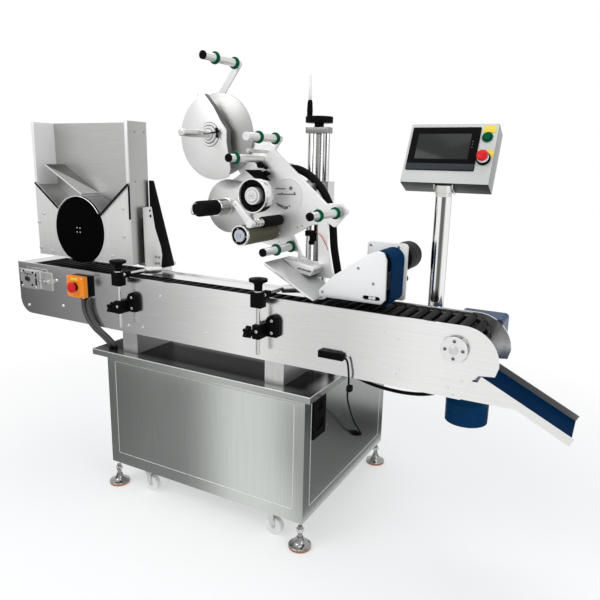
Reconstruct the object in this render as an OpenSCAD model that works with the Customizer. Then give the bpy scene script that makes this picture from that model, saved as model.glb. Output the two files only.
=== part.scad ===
// Round bottle labelling machine: cabinet, roller chain conveyor, feed hopper,
// label head on a lift column, press belt unit and operator console.
// Bottles travel along +X, the operator stands on the -Y side and Z is up.

/* [Cabinet] */
// Width of the cabinet along the conveyor
cabinet_w = 845; // [820:5:900]
// Depth of the cabinet from front to rear
cabinet_d = 708; // [690:2:760]
// Height of the cabinet floor above ground
cabinet_bottom = 97; // [95:1:110]
// Height of the table top surface
table_z = 560; // [550:1:600]
// Depth of the folded edge of the table top
table_edge_h = 22; // [15:1:30]
// How far the table top stands out past the cabinet
table_overhang = 36; // [20:1:40]
// Thickness of the frame sheet
frame_sheet = 4; // [3:0.5:6]
// Thickness of the panel and table sheet
panel_sheet = 2; // [1:0.5:2.5]
// Width of the front service panel
front_panel_w = 770; // [700:5:780]
// Height of the service panels
panel_h = 373; // [300:1:390]

/* [Feet and casters] */
// Diameter of a levelling foot pad
foot_pad_d = 78; // [60:1:90]
// Diameter of a levelling foot stem
foot_stem_d = 16; // [12:1:20]
// Distance from cabinet side to foot stem
foot_inset = 16; // [12:1:30]
// Diameter of a caster wheel
caster_wheel_d = 63; // [50:1:66]
// Width of a caster wheel
caster_wheel_w = 24; // [18:1:28]
// Distance from the cabinet side to a swivel pin
caster_side_inset = 147.5; // [120:0.5:220]
// Distance from the cabinet front or rear to a swivel pin
caster_inset = 36; // [32:1:100]
// Trail of a caster wheel behind its swivel pin
caster_trail = 22; // [10:1:26]
// Height of the caster wheels above ground while the feet carry the machine
caster_lift = 2; // [1:1:10]

/* [Conveyor] */
// Length of the side plates
conveyor_len = 1884; // [1860:2:1960]
// Distance from cabinet centre to the inlet end of the side plates
conveyor_left = 896; // [880:2:940]
// Height of the lower edge of the side plates
conveyor_base_z = 635; // [630:1:680]
// Height of the side plates
side_plate_h = 206; // [196:1:226]
// Thickness of a side plate
side_plate_t = 6; // [4:0.5:8]
// Outer width of the conveyor
conveyor_w = 182; // [170:1:200]
// Distance from cabinet centre to the front side plate
conveyor_front = 351; // [345:1:356]
// Diameter of a carrier roller
carrier_roller_d = 26; // [20:1:28]
// Largest spacing of the carrier rollers
carrier_pitch = 35.6; // [32:0.1:44]
// Depth of the roller bed below the plate edge
bed_recess = 6; // [3:1:12]
// Pitch radius of the chain sprockets
sprocket_r = 46; // [40:1:50]
// Diameter of the drive and tail shafts
shaft_d = 20; // [16:1:25]
// Width of a conveyor stand
stand_w = 70; // [50:1:90]

/* [Outlet chute] */
// Drop angle of the outlet chute
chute_angle = 26.7; // [15:0.1:35]
// Length of the outlet chute along its slope
chute_len = 272; // [200:1:320]
// Height of the chute side walls
chute_wall_h = 20; // [12:1:30]
// Thickness of the chute sheet
chute_sheet = 3; // [2:0.5:4]

/* [Hopper] */
// Outer width of the hopper
hopper_w = 490; // [470:1:520]
// Height of the hopper walls
hopper_h = 504; // [480:1:560]
// Outer depth of the hopper
hopper_d = 94; // [88:1:110]
// Thickness of a hopper side wall
hopper_wall = 14; // [10:1:18]
// Thickness of the hopper plates
hopper_plate = 4; // [3:0.5:5]
// Distance from the inlet end of the conveyor to the hopper
hopper_inset = 86; // [70:1:110]
// Gap between the conveyor and the hopper
hopper_lift = 34; // [30:1:60]
// Radius of the feed wheel
feed_wheel_r = 124; // [110:1:130]
// Number of bottle pockets on the feed wheel
feed_pockets = 8; // [6:1:10]
// Radius of a bottle pocket
pocket_r = 24; // [15:1:28]

/* [Label head] */
// Width of the head plate
head_w = 375; // [360:1:400]
// Height of the head plate
head_h = 354; // [340:1:380]
// Thickness of the head plate
head_t = 12; // [8:0.5:16]
// Radius of the rear disc of the supply reel
reel_r = 137; // [110:1:140]
// Label width that the reels take
label_w = 84; // [60:1:100]
// Diameter of the supply reel spindle
spindle_d = 25; // [20:1:30]
// Diameter of a guide roller tube
roller_d = 25; // [24:1:34]
// Diameter of the roller flange rings
ring_d = 38; // [36:1:44]
// Diameter of the roller pins
pin_d = 12; // [8:1:14]
// Length of a guide roller
roller_len = 190; // [170:1:200]
// Diameter of the traction roller
traction_d = 64; // [56:1:66]
// Diameter of the pinch roller
pinch_d = 35; // [26:1:38]
// Radius of the brake wheel
brake_wheel_r = 56; // [48:1:58]

/* [Lift column] */
// Height of the column above the table
column_h = 808; // [790:1:860]
// Diameter of a column rod
rod_d = 22; // [16:1:26]
// Distance between the column rods
rod_gap = 58; // [52:1:66]
// Diameter of the lift screw
screw_d = 16; // [12:1:20]
// Diameter of the handwheel
handwheel_d = 103; // [80:1:120]
// Height of the lift carriage
carriage_h = 75; // [60:1:90]

/* [Press unit] */
// Width of the press unit plates
press_w = 224; // [210:1:240]
// Height of the press unit plates
press_h = 155; // [145:1:180]
// Thickness of a press unit plate
press_plate_t = 10; // [6:0.5:12]
// Outer depth of the press unit
press_d = 128; // [110:1:130]
// Thickness of the press belt
belt_t = 4; // [2:0.5:5]

/* [Console] */
// Width of the console
console_w = 260; // [250:1:300]
// Height of the console face
console_h = 191; // [185:1:240]
// Depth of the console housing
console_d = 67; // [60:1:80]
// Backward tilt of the console face
console_tilt = 26.4; // [20:0.1:30]
// Diameter of the console post
post_d = 48; // [38:1:52]
// Height of the console post top above the floor
post_top = 1172; // [1100:1:1200]
// Bezel diameter of the push buttons
button_d = 29; // [22:1:30]

/* [Drive and controls] */
// Diameter of the drive motor
motor_d = 130; // [110:1:136]
// Length of the drive motor
motor_len = 231; // [180:1:250]
// Width of the gearbox
gearbox_w = 136; // [120:1:150]
// Height of the gearbox
gearbox_h = 120; // [110:1:140]
// Width of the stop box
stop_box_w = 87; // [70:1:100]
// Height of the stop box
stop_box_h = 79; // [65:1:90]
// Diameter of the stop button
mushroom_d = 40; // [30:1:44]
// Diameter of the guide post rods
guide_rod_d = 13; // [10:1:14]
// Travel of a push button
button_travel = 4; // [3:0.5:5]

/* [Fits] */
// Clearance between pieces that move past each other
gap = 0.3; // [0.25:0.05:0.4]
// Radial clearance of a shaft in its bore
fit = 0.05; // [0.03:0.01:0.08]
// Extra reach of a cut past the face that it opens
overrun = 1; // [0.5:0.5:2]

/* [Hidden] */
$fn = 48;

stainless = "#c9ccce";
white_metal = "#e4e5e3";
black_plastic = "#1c1c1e";
navy = "#20305c";
orange = "#e8702a";
red = "#c8202a";
green = "#1d7a4c";
motor_blue = "#2b5f9e";
olive = "#6d6a45";

// Cabinet and table values
table_w = cabinet_w + 2 * table_overhang;
table_d = cabinet_d + 2 * table_overhang;
cabinet_top = table_z - panel_sheet;
panel_lip = 14;
panel_gap = 1.5;
panel_rise = 44;
panel_side = 45;
panel_z = cabinet_bottom + panel_rise;
side_panel_w = cabinet_d - 2 * panel_side;
inlet_w = 86;
inlet_h = 144;
inlet_t = 6;
inlet_y = -258;
inlet_z = 447;
cover_w = 112;
cover_h = 140;
cover_y = -150;
socket_w = 48;
socket_h = 32;
gland_d = 20;
gland_h = 12;
gland_y = 60;
gland_z = 252;

// Feet and caster values
foot_pad_h = 12;
foot_cone_h = 26;
foot_nut_d = 26;
foot_nut_h = 10;
caster_plate_w = 56;
caster_plate_t = 4;
caster_boss_d = 34;
caster_boss_h = 6;
kingpin_d = 10;
fork_t = 2.5;
axle_d = 8;
hub_d = 30;
caster_x = cabinet_w / 2 - caster_side_inset;
caster_y = cabinet_d / 2 - caster_inset;
caster_pivots = [[-1, -1], [1, -1], [1, 1], [-1, 1]];
caster_axle_z = caster_lift + caster_wheel_d / 2;
fork_top = cabinet_bottom - caster_plate_t - caster_boss_h - gap;

// Conveyor values
conveyor_top = conveyor_base_z + side_plate_h;
front_y = -conveyor_front;
rear_y = front_y + conveyor_w;
inner_front = front_y + side_plate_t;
inner_rear = rear_y - side_plate_t;
chain_t = 5;
chain_h = 12;
loop_z = conveyor_top - bed_recess - carrier_roller_d / 2 - sprocket_r;
tail_inset = 77;
drive_inset = 118;
tail_x = -conveyor_left + tail_inset;
drive_x = -conveyor_left + conveyor_len - drive_inset;
loop_straight = drive_x - tail_x;
loop_len = 2 * loop_straight + 2 * PI * sprocket_r;
roller_count = ceil(loop_len / carrier_pitch);
roller_step = loop_len / roller_count;
plate_corner = 60;
plate_nose_r = 100;
nose_x = -conveyor_left + 0.946 * conveyor_len;
plate_outline_shares = [[0.033, 0], [0.95, 0], [0.965, 0.296], [0.969, 0.369],
  [0.995, 0.393], [0.999, 0.515], [0.946, 0.515], [0.946, 1], [0, 1], [0, 0.29]];
plate_screw_shares = [[0.851, 0.68], [0.855, 0.243], [0.829, 0.74], [0.949, 0.249],
  [0.93, 0.127], [0.707, 0.643], [0.024, 0.146], [0.13, 0.255], [0.115, 0.728],
  [0.31, 0.12], [0.64, 0.12]];
screw_head_d = 11;
screw_head_h = 3.5;
screw_hex_d = 6;
strip_h = 26;
strip_t = 3;
strip_drop = 2;
stand_shares = [-0.164, 0.162];
stand_wall = 4;
tie_d = 18;
tie_shares = [0.12, 0.34, 0.62, 0.84];
tie_rise = 28;
cover_t = 2;
bearing_r = 31;
bearing_t = 10;
tension_w = 93;
tension_h = 70;
tension_t = 16;
slot_plate_w = 70;
slot_plate_t = 4;

// Outlet chute values
chute_start = 64;
chute_fall = 150;
chute_x = drive_x + chute_start;
chute_z = conveyor_top - chute_fall;
liner_t = 2;
chute_reach = chute_len * cos(chute_angle);
chute_drop = chute_len * sin(chute_angle);

// Hopper values
hopper_x = -conveyor_left + hopper_inset;
hopper_z = conveyor_top + hopper_lift;
hopper_setback = 139;
hopper_back = front_y + hopper_setback;
hopper_front_y = hopper_back - hopper_d;
feed_shares = [0.471, 0.218];
feed_x = hopper_x + feed_shares[0] * hopper_w;
feed_z = hopper_z + feed_shares[1] * hopper_h;
feed_clear = 4;
slant_left_shares = [[0.012, 0.548], [0.255, 0.369]];
slant_right_shares = [[0.992, 0.569], [0.706, 0.342]];
baffle_shares = [[0.122, 0.688], [0.5, 0.484]];
hopper_screw_shares = [[0.074, 0.317], [0.014, 0.25], [0.014, 0.05], [0.15, 0.03],
  [0.93, 0.4], [0.93, 0.2], [0.8, 0.045]];
trim_t = 9;
feed_disc_t = 8;
feed_shaft_d = 20;
feed_hub_d = 64;
feed_box_w = 96;
feed_box_d = 60;
feed_motor_d = 76;
feed_motor_len = 96;

// Label head values: the plate's lower left corner and the places on it
head_x = 11;
head_z = 961;
head_front = rear_y;
head_back = head_front + head_t;
head_outline_shares = [[0.429, 1], [0.483, 0.921], [1, 0.449], [0.92, 0.282],
  [0.693, 0.158], [0.728, 0], [0.363, 0.054], [0.26, 0.3], [0.109, 0.483], [0, 0.621],
  [0.181, 0.743]];
supply_shares = [-0.093, 1.059];
rewind_shares = [0.013, 0.39];
traction_shares = [0.461, 0.186];
brake_shares = [0.413, 0.517];
stay_shares = [0.397, 0.915];
lug_shares = [[0.42, 0.9], [0.2, 0.5]];
dancer_pivot_shares = [-0.19, 1.277];
roller_shares = [[0.109, 1.692], [0.515, 1.028], [0.341, 0.847], [1.101, 0.39], [0.675, 0.054]];
tab_shares = [[0.9, 0.5], [1.2, 0.5], [1.2, 0.257], [0.9, 0.257]];
bridge_shares = [[0.2, 0.6], [-0.28, 1.2], [-0.1, 1.36], [0.45, 0.95]];
peel_shares = [[0.66, 0.268], [0.971, 0.268], [1.069, -0.16], [0.95, -0.215], [0.68, -0.05]];
blade_shares = [[0.653, -0.045], [1.117, -0.325]];
disc_t = 4;
reel_gap = 8;
reel_back = head_front - reel_gap;
journal_d = 20;
collar_d = 36;
collar_t = 8;
hub_r = 38;
spindle_len = 203;
rewind_r = 91;
rewind_drum_d = 58;
rewind_drum_len = 64;
rewind_grip_d = 51;
rewind_grip_len = 133;
wire_reach = 36;
wire_h = 33;
wire_d = 3;
arm_w = 22;
arm_t = 6;
arm_y = head_front - gap - arm_t;
ring_w = 12;
cap_t = 6;
blade_t = 3;
blade_inset = 20;
blade_front = front_y + blade_inset;
blade_back = rear_y - side_plate_t;
stay_len = 116;
brake_reach = 98;
brake_rim_w = 42;
drive_box_w = 114;
drive_box_d = 97;
pinch_angle = 49;
pinch_len = 108;
pinch_pin_len = 193;
pinch_collar_d = 26;
pinch_collar_shares = [0.63, 0.83];
lever_shares = [0.408, 0.46];
lever_w = 22;
lever_t = 10;
pinch_gap = 0.6;

// Lift column values
column_x = 278;
column_y = -25;
column_top = table_z + column_h;
base_plate_t = 15;
top_plate_t = 20;
column_w = 104;
column_d = 50;
carriage_z = 1115;
wheel_rim_w = 15;
wheel_hub_d = 36;
grip_d = 16;
grip_len = 58;
spike_len = 91;
spike_d = 9;
rim_notches = 18;

// Press unit values
press_x = 424;
press_rise = 15;
press_inset = 45;
press_z = conveyor_top + press_rise;
press_front = front_y + press_inset;
press_back = press_front + press_d;
press_shares = [[0.045, 0.129], [0.254, 0.445], [0.737, 0.923], [0.871, 1], [0.95, 0.97],
  [0.991, 0.839], [1, 0.09], [0.942, 0], [0.06, 0]];
press_pulley_shares = [[0.155, 0.09], [0.955, 0.11], [0.897, 0.768]];
press_pulley_sizes = [19, 22, 36];
rear_plate_shares = [0.513, -0.05];
rear_plate_w = 112;
rear_plate_h = 174;
rear_plate_corner = 12;
rear_screw_shares = [[0.585, 0.987], [0.924, 0.987]];
motor_offset = 21;
press_slot_shares = [0.62, 0.78];
press_tie_shares = [0.6, 0.45];
press_screw_shares = [[0.616, 0.645], [0.83, 0.381], [0.112, 0.16]];
bracket_t = 16;
bracket_w = 66;
bracket_x = 535;
bracket_rise = -10;
bracket_top = press_z + press_h + bracket_rise;
press_motor_r = 43;
press_motor_len = 110;
belt_side = screw_head_h + gap;

// Console values
post_x = 746;
post_setback = 44;
post_y = rear_y + post_setback;
post_bottom = 650;
face_reach = 20;
face_rise = 115.5;
console_face_y = post_y + face_reach;
console_face_z = post_top + face_rise;
bezel_w = 203;
bezel_h = 138;
bezel_t = 3;
bezel_u = -19.5;
bezel_v = 13;
screen_w = 158;
screen_h = 82;
screen_u = -21;
screen_v = 20.5;
start_u = 103;
start_v = 51;
console_stop_v = -17;
neck_d = 44;
neck_h = 24;
rib_u = 27;
rib_t = 3;
rib_h = 12;
knob_h = 14;
bezel_ring_t = 5;

// Drive and control values
gearbox_d = 94;
gearbox_corner = 12;
fin_count = 24;
fin_h = 5;
fin_t = 3;
stop_x = -557;
stop_z = 750;
stop_base_d = 34;
stop_cover_d = 21;
stop_button_shares = [0.506, 0.506];
stem_d = 16;
mushroom_t = 13;
mushroom_stand = 12;
amp_x = 466;
amp_z = 679;
amp_w = 88;
amp_h = 32;
amp_d = 26;
guide_x = [-310, 270];
guide_reach = 38;
guide_y = front_y - guide_reach;
guide_top = 898;
guide_bottom = 664;
guide_clamp_w = 34;
guide_clamp_h = 64;
guide_clamp_z = 712;
guide_block_w = 56;
guide_block_h = 50;
guide_block_z = 816;
guide_body_w = 52;
guide_body_h = 71;
guide_body_z = 720;
knob_d = 34;
knob_lobes = 5;
knob_disc_d = 58;
knob_disc_t = 9;
flap_w = 62;
flap_h = 26;
flap_t = 3;
flap_tilt = 35;

// The row frame has its origin under the middle of the machine
stop_front = stop_base_d + stop_cover_d + mushroom_stand + mushroom_t;
chute_end = chute_x + (chute_len - chute_sheet) * cos(chute_angle) + chute_wall_h * sin(chute_angle);
x_middle = (chute_end - conveyor_left) / 2;
y_middle = (table_d / 2 + front_y - stop_front) / 2;
home = [-x_middle, -y_middle, 0];

// Axis-aligned box between two corners
module span(lo, hi) translate(lo) cube(hi - lo);

// Round bars that start at a point and run along one axis
module bar_z(p, d, len) translate(p) cylinder(d = d, h = len);
module bar_y(p, d, len) translate(p) rotate([-90, 0, 0]) cylinder(d = d, h = len);
module bar_x(p, d, len) translate(p) rotate([0, 90, 0]) cylinder(d = d, h = len);

// A profile drawn in X and Z, made solid from y0 to y1
module slab_y(y0, y1) translate([0, y1, 0]) rotate([90, 0, 0]) linear_extrude(y1 - y0) children();

// A profile drawn in Y and Z, made solid from x0 to x1
module slab_x(x0, x1) translate([x0, 0, 0]) rotate([90, 0, 90]) linear_extrude(x1 - x0) children();

// Turns shares of a rectangle into points
function at_shares(list, x, z, w, h) = [for (s = list) [x + s[0] * w, z + s[1] * h]];

// Straight band between two points with round ends
module band(a, b, r) {
  d = b - a;
  translate(a) rotate(atan2(d[1], d[0])) {
    translate([0, -r]) square([norm(d), 2 * r]);
    circle(r);
    translate([norm(d), 0]) circle(r);
  }
}

// Area inside a belt that runs round pulleys, cut is taken off each radius
module belt_area(points, sizes, cut) hull()
  for (i = [0 : len(points) - 1]) translate(points[i]) circle(sizes[i] - cut);

module slot_2d(a, b, d) band(a, b, d / 2);

module rounded(w, h, r) {
  translate([r, 0]) square([w - 2 * r, h]);
  translate([0, r]) square([w, h - 2 * r]);
  for (x = [r, w - r], y = [r, h - r]) translate([x, y]) circle(r);
}

// Socket head screw whose head lies in front of the plane y
module screw_y(x, y, z) {
  difference() {
    bar_y([x, y - screw_head_h, z], screw_head_d, screw_head_h);
    bar_y([x, y - screw_head_h - overrun, z], screw_hex_d, overrun + screw_head_h / 2, $fn = 6);
  }
}

// Cables: a smooth route, then one ring of points for each place on it
function smooth_at(p, i, t) =
  let (a = p[max(i - 1, 0)], b = p[i], c = p[i + 1], d = p[min(i + 2, len(p) - 1)])
  b + t * ((c - a) / 2 + t * ((a - 2.5 * b + 2 * c - d / 2) + t * ((3 * b - 3 * c + d - a) / 2)));
function smooth_route(p, steps) =
  [for (i = [0 : len(p) - 2], k = [0 : steps - 1]) smooth_at(p, i, k / steps), p[len(p) - 1]];
function unit(v) = v / norm(v);
function route_ring(p, i, r, sides, side_way) =
  let (t = unit(p[min(i + 1, len(p) - 1)] - p[max(i - 1, 0)]), a = unit(cross(t, side_way)),
       b = cross(t, a))
  [for (k = [0 : sides - 1]) p[i] + r * (cos(360 * k / sides) * a + sin(360 * k / sides) * b)];

module cable(points, d, steps, sides, side_way) {
  p = smooth_route(points, steps);
  n = len(p);
  rings = [for (i = [0 : n - 1]) each route_ring(p, i, d / 2, sides, side_way)];
  wall = [for (i = [0 : n - 2], k = [0 : sides - 1])
    let (a = i * sides + k, b = i * sides + (k + 1) % sides)
    each [[a, b, b + sides], [a, b + sides, a + sides]]];
  first = [for (k = [sides - 1 : -1 : 0]) k];
  last = [for (k = [0 : sides - 1]) (n - 1) * sides + k];
  polyhedron(rings, concat(wall, [first, last]));
}

// Routes of the cables, chosen by hand
conduit_route_1 = [[-522, -368, 738], [-522, -368, 700], [-512, -366, 655], [-480, -352, 615],
  [-440, -330, 590], [-430, -322, 575], [-430, -322, 560.5]];
conduit_route_2 = [[-500, -368, 738], [-500, -368, 705], [-488, -366, 660], [-455, -350, 620],
  [-410, -330, 590], [-400, -322, 575], [-400, -322, 560.5]];
sensor_route = [[554, -364, 695], [562, -364, 694], [568, -364, 670], [570, -362, 625],
  [545, -310, 560], [495, -180, 470], [465, -60, 360], [458, 20, 285], [450, 58, 255],
  [434.5, 60, 252]];
hose_route = [[200.4, -100, 1230], [220, -100, 1230], [250, -100, 1227], [290, -100, 1216],
  [330, -100, 1186], [360, -100, 1120], [368, -100, 1050], [374, -100, 970], [392, -100, 890],
  [400, -100, 790], [394, -100, 680], [390, -100, 600], [390, -100, 560]];
conduit_d = 12;
sensor_cable_d = 6;
hose_d = 20;

// Cabinet
// Cuts one panel opening: a shallow seat and a smaller hole through the sheet
module panel_opening(w, z, h, d, depth) {
  translate([-w / 2, -d / 2 - overrun, z]) cube([w, depth + overrun, h]);
  translate([-w / 2 + panel_lip, -d / 2 - overrun, z + panel_lip])
    cube([w - 2 * panel_lip, frame_sheet + 2 * overrun, h - 2 * panel_lip]);
}

module cabinet_frame() color(stainless) translate(home) difference() {
  union() {
    span([-cabinet_w / 2, -cabinet_d / 2, cabinet_bottom], [cabinet_w / 2, cabinet_d / 2, cabinet_top]);
    for (s = caster_pivots) caster_mount(s);
  }
  span([-cabinet_w / 2 + frame_sheet, -cabinet_d / 2 + frame_sheet, cabinet_bottom + frame_sheet],
    [cabinet_w / 2 - frame_sheet, cabinet_d / 2 - frame_sheet, cabinet_top - frame_sheet]);
  for (a = [0, 180]) rotate(a) panel_opening(front_panel_w, panel_z, panel_h, cabinet_d, panel_sheet);
  for (a = [90, -90]) rotate(a) panel_opening(side_panel_w, panel_z, panel_h, cabinet_w, panel_sheet);
}

module caster_mount(s) {
  translate([s[0] * caster_x, s[1] * caster_y, 0]) {
    translate([-caster_plate_w / 2, -caster_plate_w / 2, cabinet_bottom - caster_plate_t])
      cube([caster_plate_w, caster_plate_w, caster_plate_t]);
    bar_z([0, 0, fork_top + gap], caster_boss_d, caster_boss_h);
    bar_z([0, 0, fork_top - 3 * fork_t], kingpin_d, 3 * fork_t + gap + overrun);
  }
}

module panel(w, face) {
  translate([-w / 2 + panel_gap, -face, panel_z + panel_gap])
    cube([w - 2 * panel_gap, panel_sheet, panel_h - 2 * panel_gap]);
}

module cabinet_panels() color(stainless) translate(home) {
  for (a = [0, 180]) rotate(a) panel(front_panel_w, cabinet_d / 2);
  for (a = [90, -90]) rotate(a) panel(side_panel_w, cabinet_w / 2);
}

module table_top() color(stainless) translate(home) difference() {
  span([-table_w / 2, -table_d / 2, table_z - table_edge_h], [table_w / 2, table_d / 2, table_z]);
  span([-table_w / 2 + panel_sheet, -table_d / 2 + panel_sheet, table_z - table_edge_h - overrun],
    [table_w / 2 - panel_sheet, table_d / 2 - panel_sheet, table_z - panel_sheet]);
}

// Block on the cabinet side, round the middle y and z
module side_pad(x0, x1, y, z, w, h) translate([x0, y - w / 2, z - h / 2]) cube([x1 - x0, w, h]);

module power_inlet() translate(home) translate([cabinet_w / 2, 0, 0]) {
  color(black_plastic) difference() {
    side_pad(0, inlet_t, inlet_y, inlet_z, inlet_w, inlet_h);
    side_pad(inlet_t / 3, inlet_t + overrun, inlet_y, inlet_z - inlet_h / 5, socket_w, socket_h);
    side_pad(inlet_t / 2, inlet_t + overrun, inlet_y, inlet_z + inlet_h / 4, socket_w * 0.66, socket_h);
  }
  color(white_metal) difference() {
    side_pad(0, panel_sheet, cover_y, inlet_z, cover_w, cover_h);
    for (y = [-1, 1], z = [-1, 1]) translate([0, cover_y, inlet_z])
      bar_x([panel_sheet / 2, y * (cover_w / 2 - screw_head_d), z * (cover_h / 2 - screw_head_d)],
        screw_hex_d, panel_sheet);
  }
  color(black_plastic) bar_x([0, gland_y, gland_z], gland_d, gland_h);
}

module levelling_feet() translate(home)
  for (x = [-1, 1], y = [-1, 1])
    translate([x * (cabinet_w / 2 - foot_inset), y * (cabinet_d / 2 - foot_inset), 0]) {
      color(orange) cylinder(d = foot_pad_d, h = foot_pad_h);
      color(stainless) {
        bar_z([0, 0, foot_pad_h], foot_pad_d * 0.82, foot_cone_h / 4);
        translate([0, 0, foot_pad_h + foot_cone_h / 4])
          cylinder(d1 = foot_pad_d * 0.7, d2 = foot_stem_d * 1.6, h = foot_cone_h);
        bar_z([0, 0, foot_pad_h], foot_stem_d, cabinet_bottom - foot_pad_h);
        bar_z([0, 0, cabinet_bottom - foot_nut_h - foot_pad_h], foot_nut_d, foot_nut_h, $fn = 6);
      }
    }

// Casters
module caster_fork(i) {
  s = caster_pivots[i - 1];
  half = caster_wheel_w / 2 + gap * 2;
  color(stainless) translate(home) translate([s[0] * caster_x, s[1] * caster_y, 0]) difference() {
    union() {
      bar_z([0, 0, fork_top - 2 * fork_t], caster_boss_d, 2 * fork_t);
      translate([0, -half - fork_t, fork_top - 2 * fork_t])
        cube([caster_trail, 2 * (half + fork_t), 2 * fork_t]);
      for (y = [-half - fork_t, half]) slab_y(y, y + fork_t)
        polygon([[0, fork_top], [caster_trail, fork_top], [caster_trail + axle_d, caster_axle_z],
          [caster_trail, caster_axle_z - axle_d], [caster_trail - axle_d, caster_axle_z]]);
      bar_y([caster_trail, -half - 2 * fork_t, caster_axle_z], axle_d, 2 * half + 4 * fork_t);
    }
    bar_z([0, 0, fork_top - 3 * fork_t - overrun], kingpin_d + 2 * fit, 4 * fork_t + overrun);
  }
}

module caster_wheel(i) {
  s = caster_pivots[i - 1];
  color(black_plastic) translate(home)
    translate([s[0] * caster_x + caster_trail, s[1] * caster_y, caster_axle_z]) rotate([-90, 0, 0])
      difference() {
        union() {
          cylinder(d = caster_wheel_d, h = caster_wheel_w * 0.8, center = true);
          cylinder(d = caster_wheel_d * 0.9, h = caster_wheel_w * 0.9, center = true);
          cylinder(d = hub_d, h = caster_wheel_w, center = true);
        }
        cylinder(d = axle_d + 2 * fit, h = caster_wheel_w + overrun, center = true);
      }
}

// Conveyor
module side_plate_profile() difference() {
  union() {
    polygon(at_shares(plate_outline_shares, -conveyor_left, conveyor_base_z, conveyor_len, side_plate_h));
    translate([-conveyor_left + plate_corner, conveyor_base_z + plate_corner]) circle(plate_corner);
    intersection() {
      translate([nose_x, conveyor_top - plate_nose_r]) circle(plate_nose_r);
      translate([nose_x - plate_corner / 4, conveyor_top - plate_nose_r]) square(2 * plate_nose_r);
    }
  }
  for (x = [tail_x, drive_x]) translate([x, loop_z]) circle(d = shaft_d + 2 * gap);
}

module side_plate(face, inner) {
  slab_y(face, face + side_plate_t) side_plate_profile();
  slab_y(inner, inner + strip_t)
    translate([tail_x, conveyor_top - strip_drop - strip_h]) square([drive_x - tail_x, strip_h]);
}

module front_side_plate() color(white_metal) translate(home) {
  side_plate(front_y, inner_front);
  for (p = at_shares(plate_screw_shares, -conveyor_left, conveyor_base_z, conveyor_len, side_plate_h))
    screw_y(p[0], front_y, p[1]);
}

module rear_side_plate() color(white_metal) translate(home)
  side_plate(inner_rear, inner_rear - strip_t);

// Place on the chain loop, as X and Z, at a distance along it
function turn_place(x, a) = [x + sprocket_r * cos(a), loop_z + sprocket_r * sin(a)];
function loop_place(d) =
  let (half = PI * sprocket_r, e = d % loop_len)
  e < loop_straight ? [tail_x + e, loop_z + sprocket_r]
  : e < loop_straight + half
    ? turn_place(drive_x, 90 - 180 * (e - loop_straight) / half)
  : e < 2 * loop_straight + half ? [drive_x - (e - loop_straight - half), loop_z - sprocket_r]
  : turn_place(tail_x, 270 - 180 * (e - 2 * loop_straight - half) / half);

module chain_side(y) slab_y(y, y + chain_t) difference() {
  band([tail_x, loop_z], [drive_x, loop_z], sprocket_r + chain_h / 2);
  band([tail_x, loop_z], [drive_x, loop_z], sprocket_r - chain_h / 2);
}

chain_front = inner_front + strip_t + gap;
chain_rear = inner_rear - strip_t - gap - chain_t;

module carrier_chain() color(stainless) translate(home) {
  chain_side(chain_front);
  chain_side(chain_rear);
}

module carrier_rollers() color(stainless) translate(home)
  for (i = [0 : roller_count - 1]) {
    p = loop_place(i * roller_step);
    bar_y([p[0], chain_front + chain_t + gap, p[1]], carrier_roller_d,
      chain_rear - chain_front - chain_t - 2 * gap);
  }

module conveyor_supports() color(stainless) translate(home) {
  for (s = stand_shares) translate([s * conveyor_len, 0, 0]) difference() {
    span([-stand_w / 2, inner_front - side_plate_t / 2, table_z],
      [stand_w / 2, inner_rear + side_plate_t / 2, conveyor_base_z]);
    span([-stand_w / 2 + stand_wall, inner_front + stand_wall, table_z - overrun],
      [stand_w / 2 - stand_wall, inner_rear - stand_wall, conveyor_base_z + overrun]);
  }
  for (s = tie_shares)
    bar_y([-conveyor_left + s * conveyor_len, inner_front, conveyor_base_z + tie_rise], tie_d,
      inner_rear - inner_front);
  span([-conveyor_left + cover_t, inner_front, conveyor_top - bed_recess + cover_t],
    [tail_x - gap, inner_rear, conveyor_top - bed_recess + 2 * cover_t]);
  span([-conveyor_left + cover_t, inner_front, loop_z],
    [-conveyor_left + 2 * cover_t, inner_rear, conveyor_top - bed_recess + 2 * cover_t]);
}

module flange_bearing(x, y0, y1) slab_y(y0, y1) difference() {
  union() {
    for (a = [45 : 90 : 315])
      translate([x + bearing_r * cos(a), loop_z + bearing_r * sin(a)]) circle(bearing_r * 0.28);
    translate([x - bearing_r * 0.8, loop_z - bearing_r * 0.8]) square(bearing_r * 1.6);
  }
  translate([x, loop_z]) circle(d = shaft_d + 2 * fit);
}

module shaft_bearings() color(white_metal) translate(home) {
  flange_bearing(drive_x, front_y - bearing_t, front_y);
  for (a = [45 : 90 : 315])
    screw_y(drive_x + bearing_r * cos(a), front_y - bearing_t, loop_z + bearing_r * sin(a));
  for (y = [front_y - tension_t, rear_y]) slab_y(y, y + tension_t) difference() {
    translate([tail_x - tension_w / 2, loop_z - tension_h / 2]) square([tension_w, tension_h]);
    translate([tail_x, loop_z]) circle(d = shaft_d + 2 * fit);
    translate([tail_x, loop_z + tension_h / 3])
      slot_2d([-tension_w / 4, 0], [tension_w / 4, 0], tension_h / 9);
  }
  for (y = [front_y - slot_plate_t, rear_y]) slab_y(y, y + slot_plate_t) difference() {
    translate([tail_x + tension_w / 2 + gap, loop_z - tension_h / 2]) square([slot_plate_w, tension_h]);
    slot_2d([tail_x + tension_w * 0.65, loop_z], [tail_x + tension_w * 1.05, loop_z], tension_h / 8);
  }
}

module sprocket_shaft(x, y0, y1) {
  bar_y([x, y0, loop_z], shaft_d, y1 - y0);
  for (y = [chain_front, chain_rear])
    bar_y([x, y, loop_z], 2 * (sprocket_r - chain_h / 2 - gap), chain_t);
}

module drive_shaft() color(stainless) translate(home)
  sprocket_shaft(drive_x, front_y - bearing_t - 2 * gap, rear_y + gearbox_d);

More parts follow.
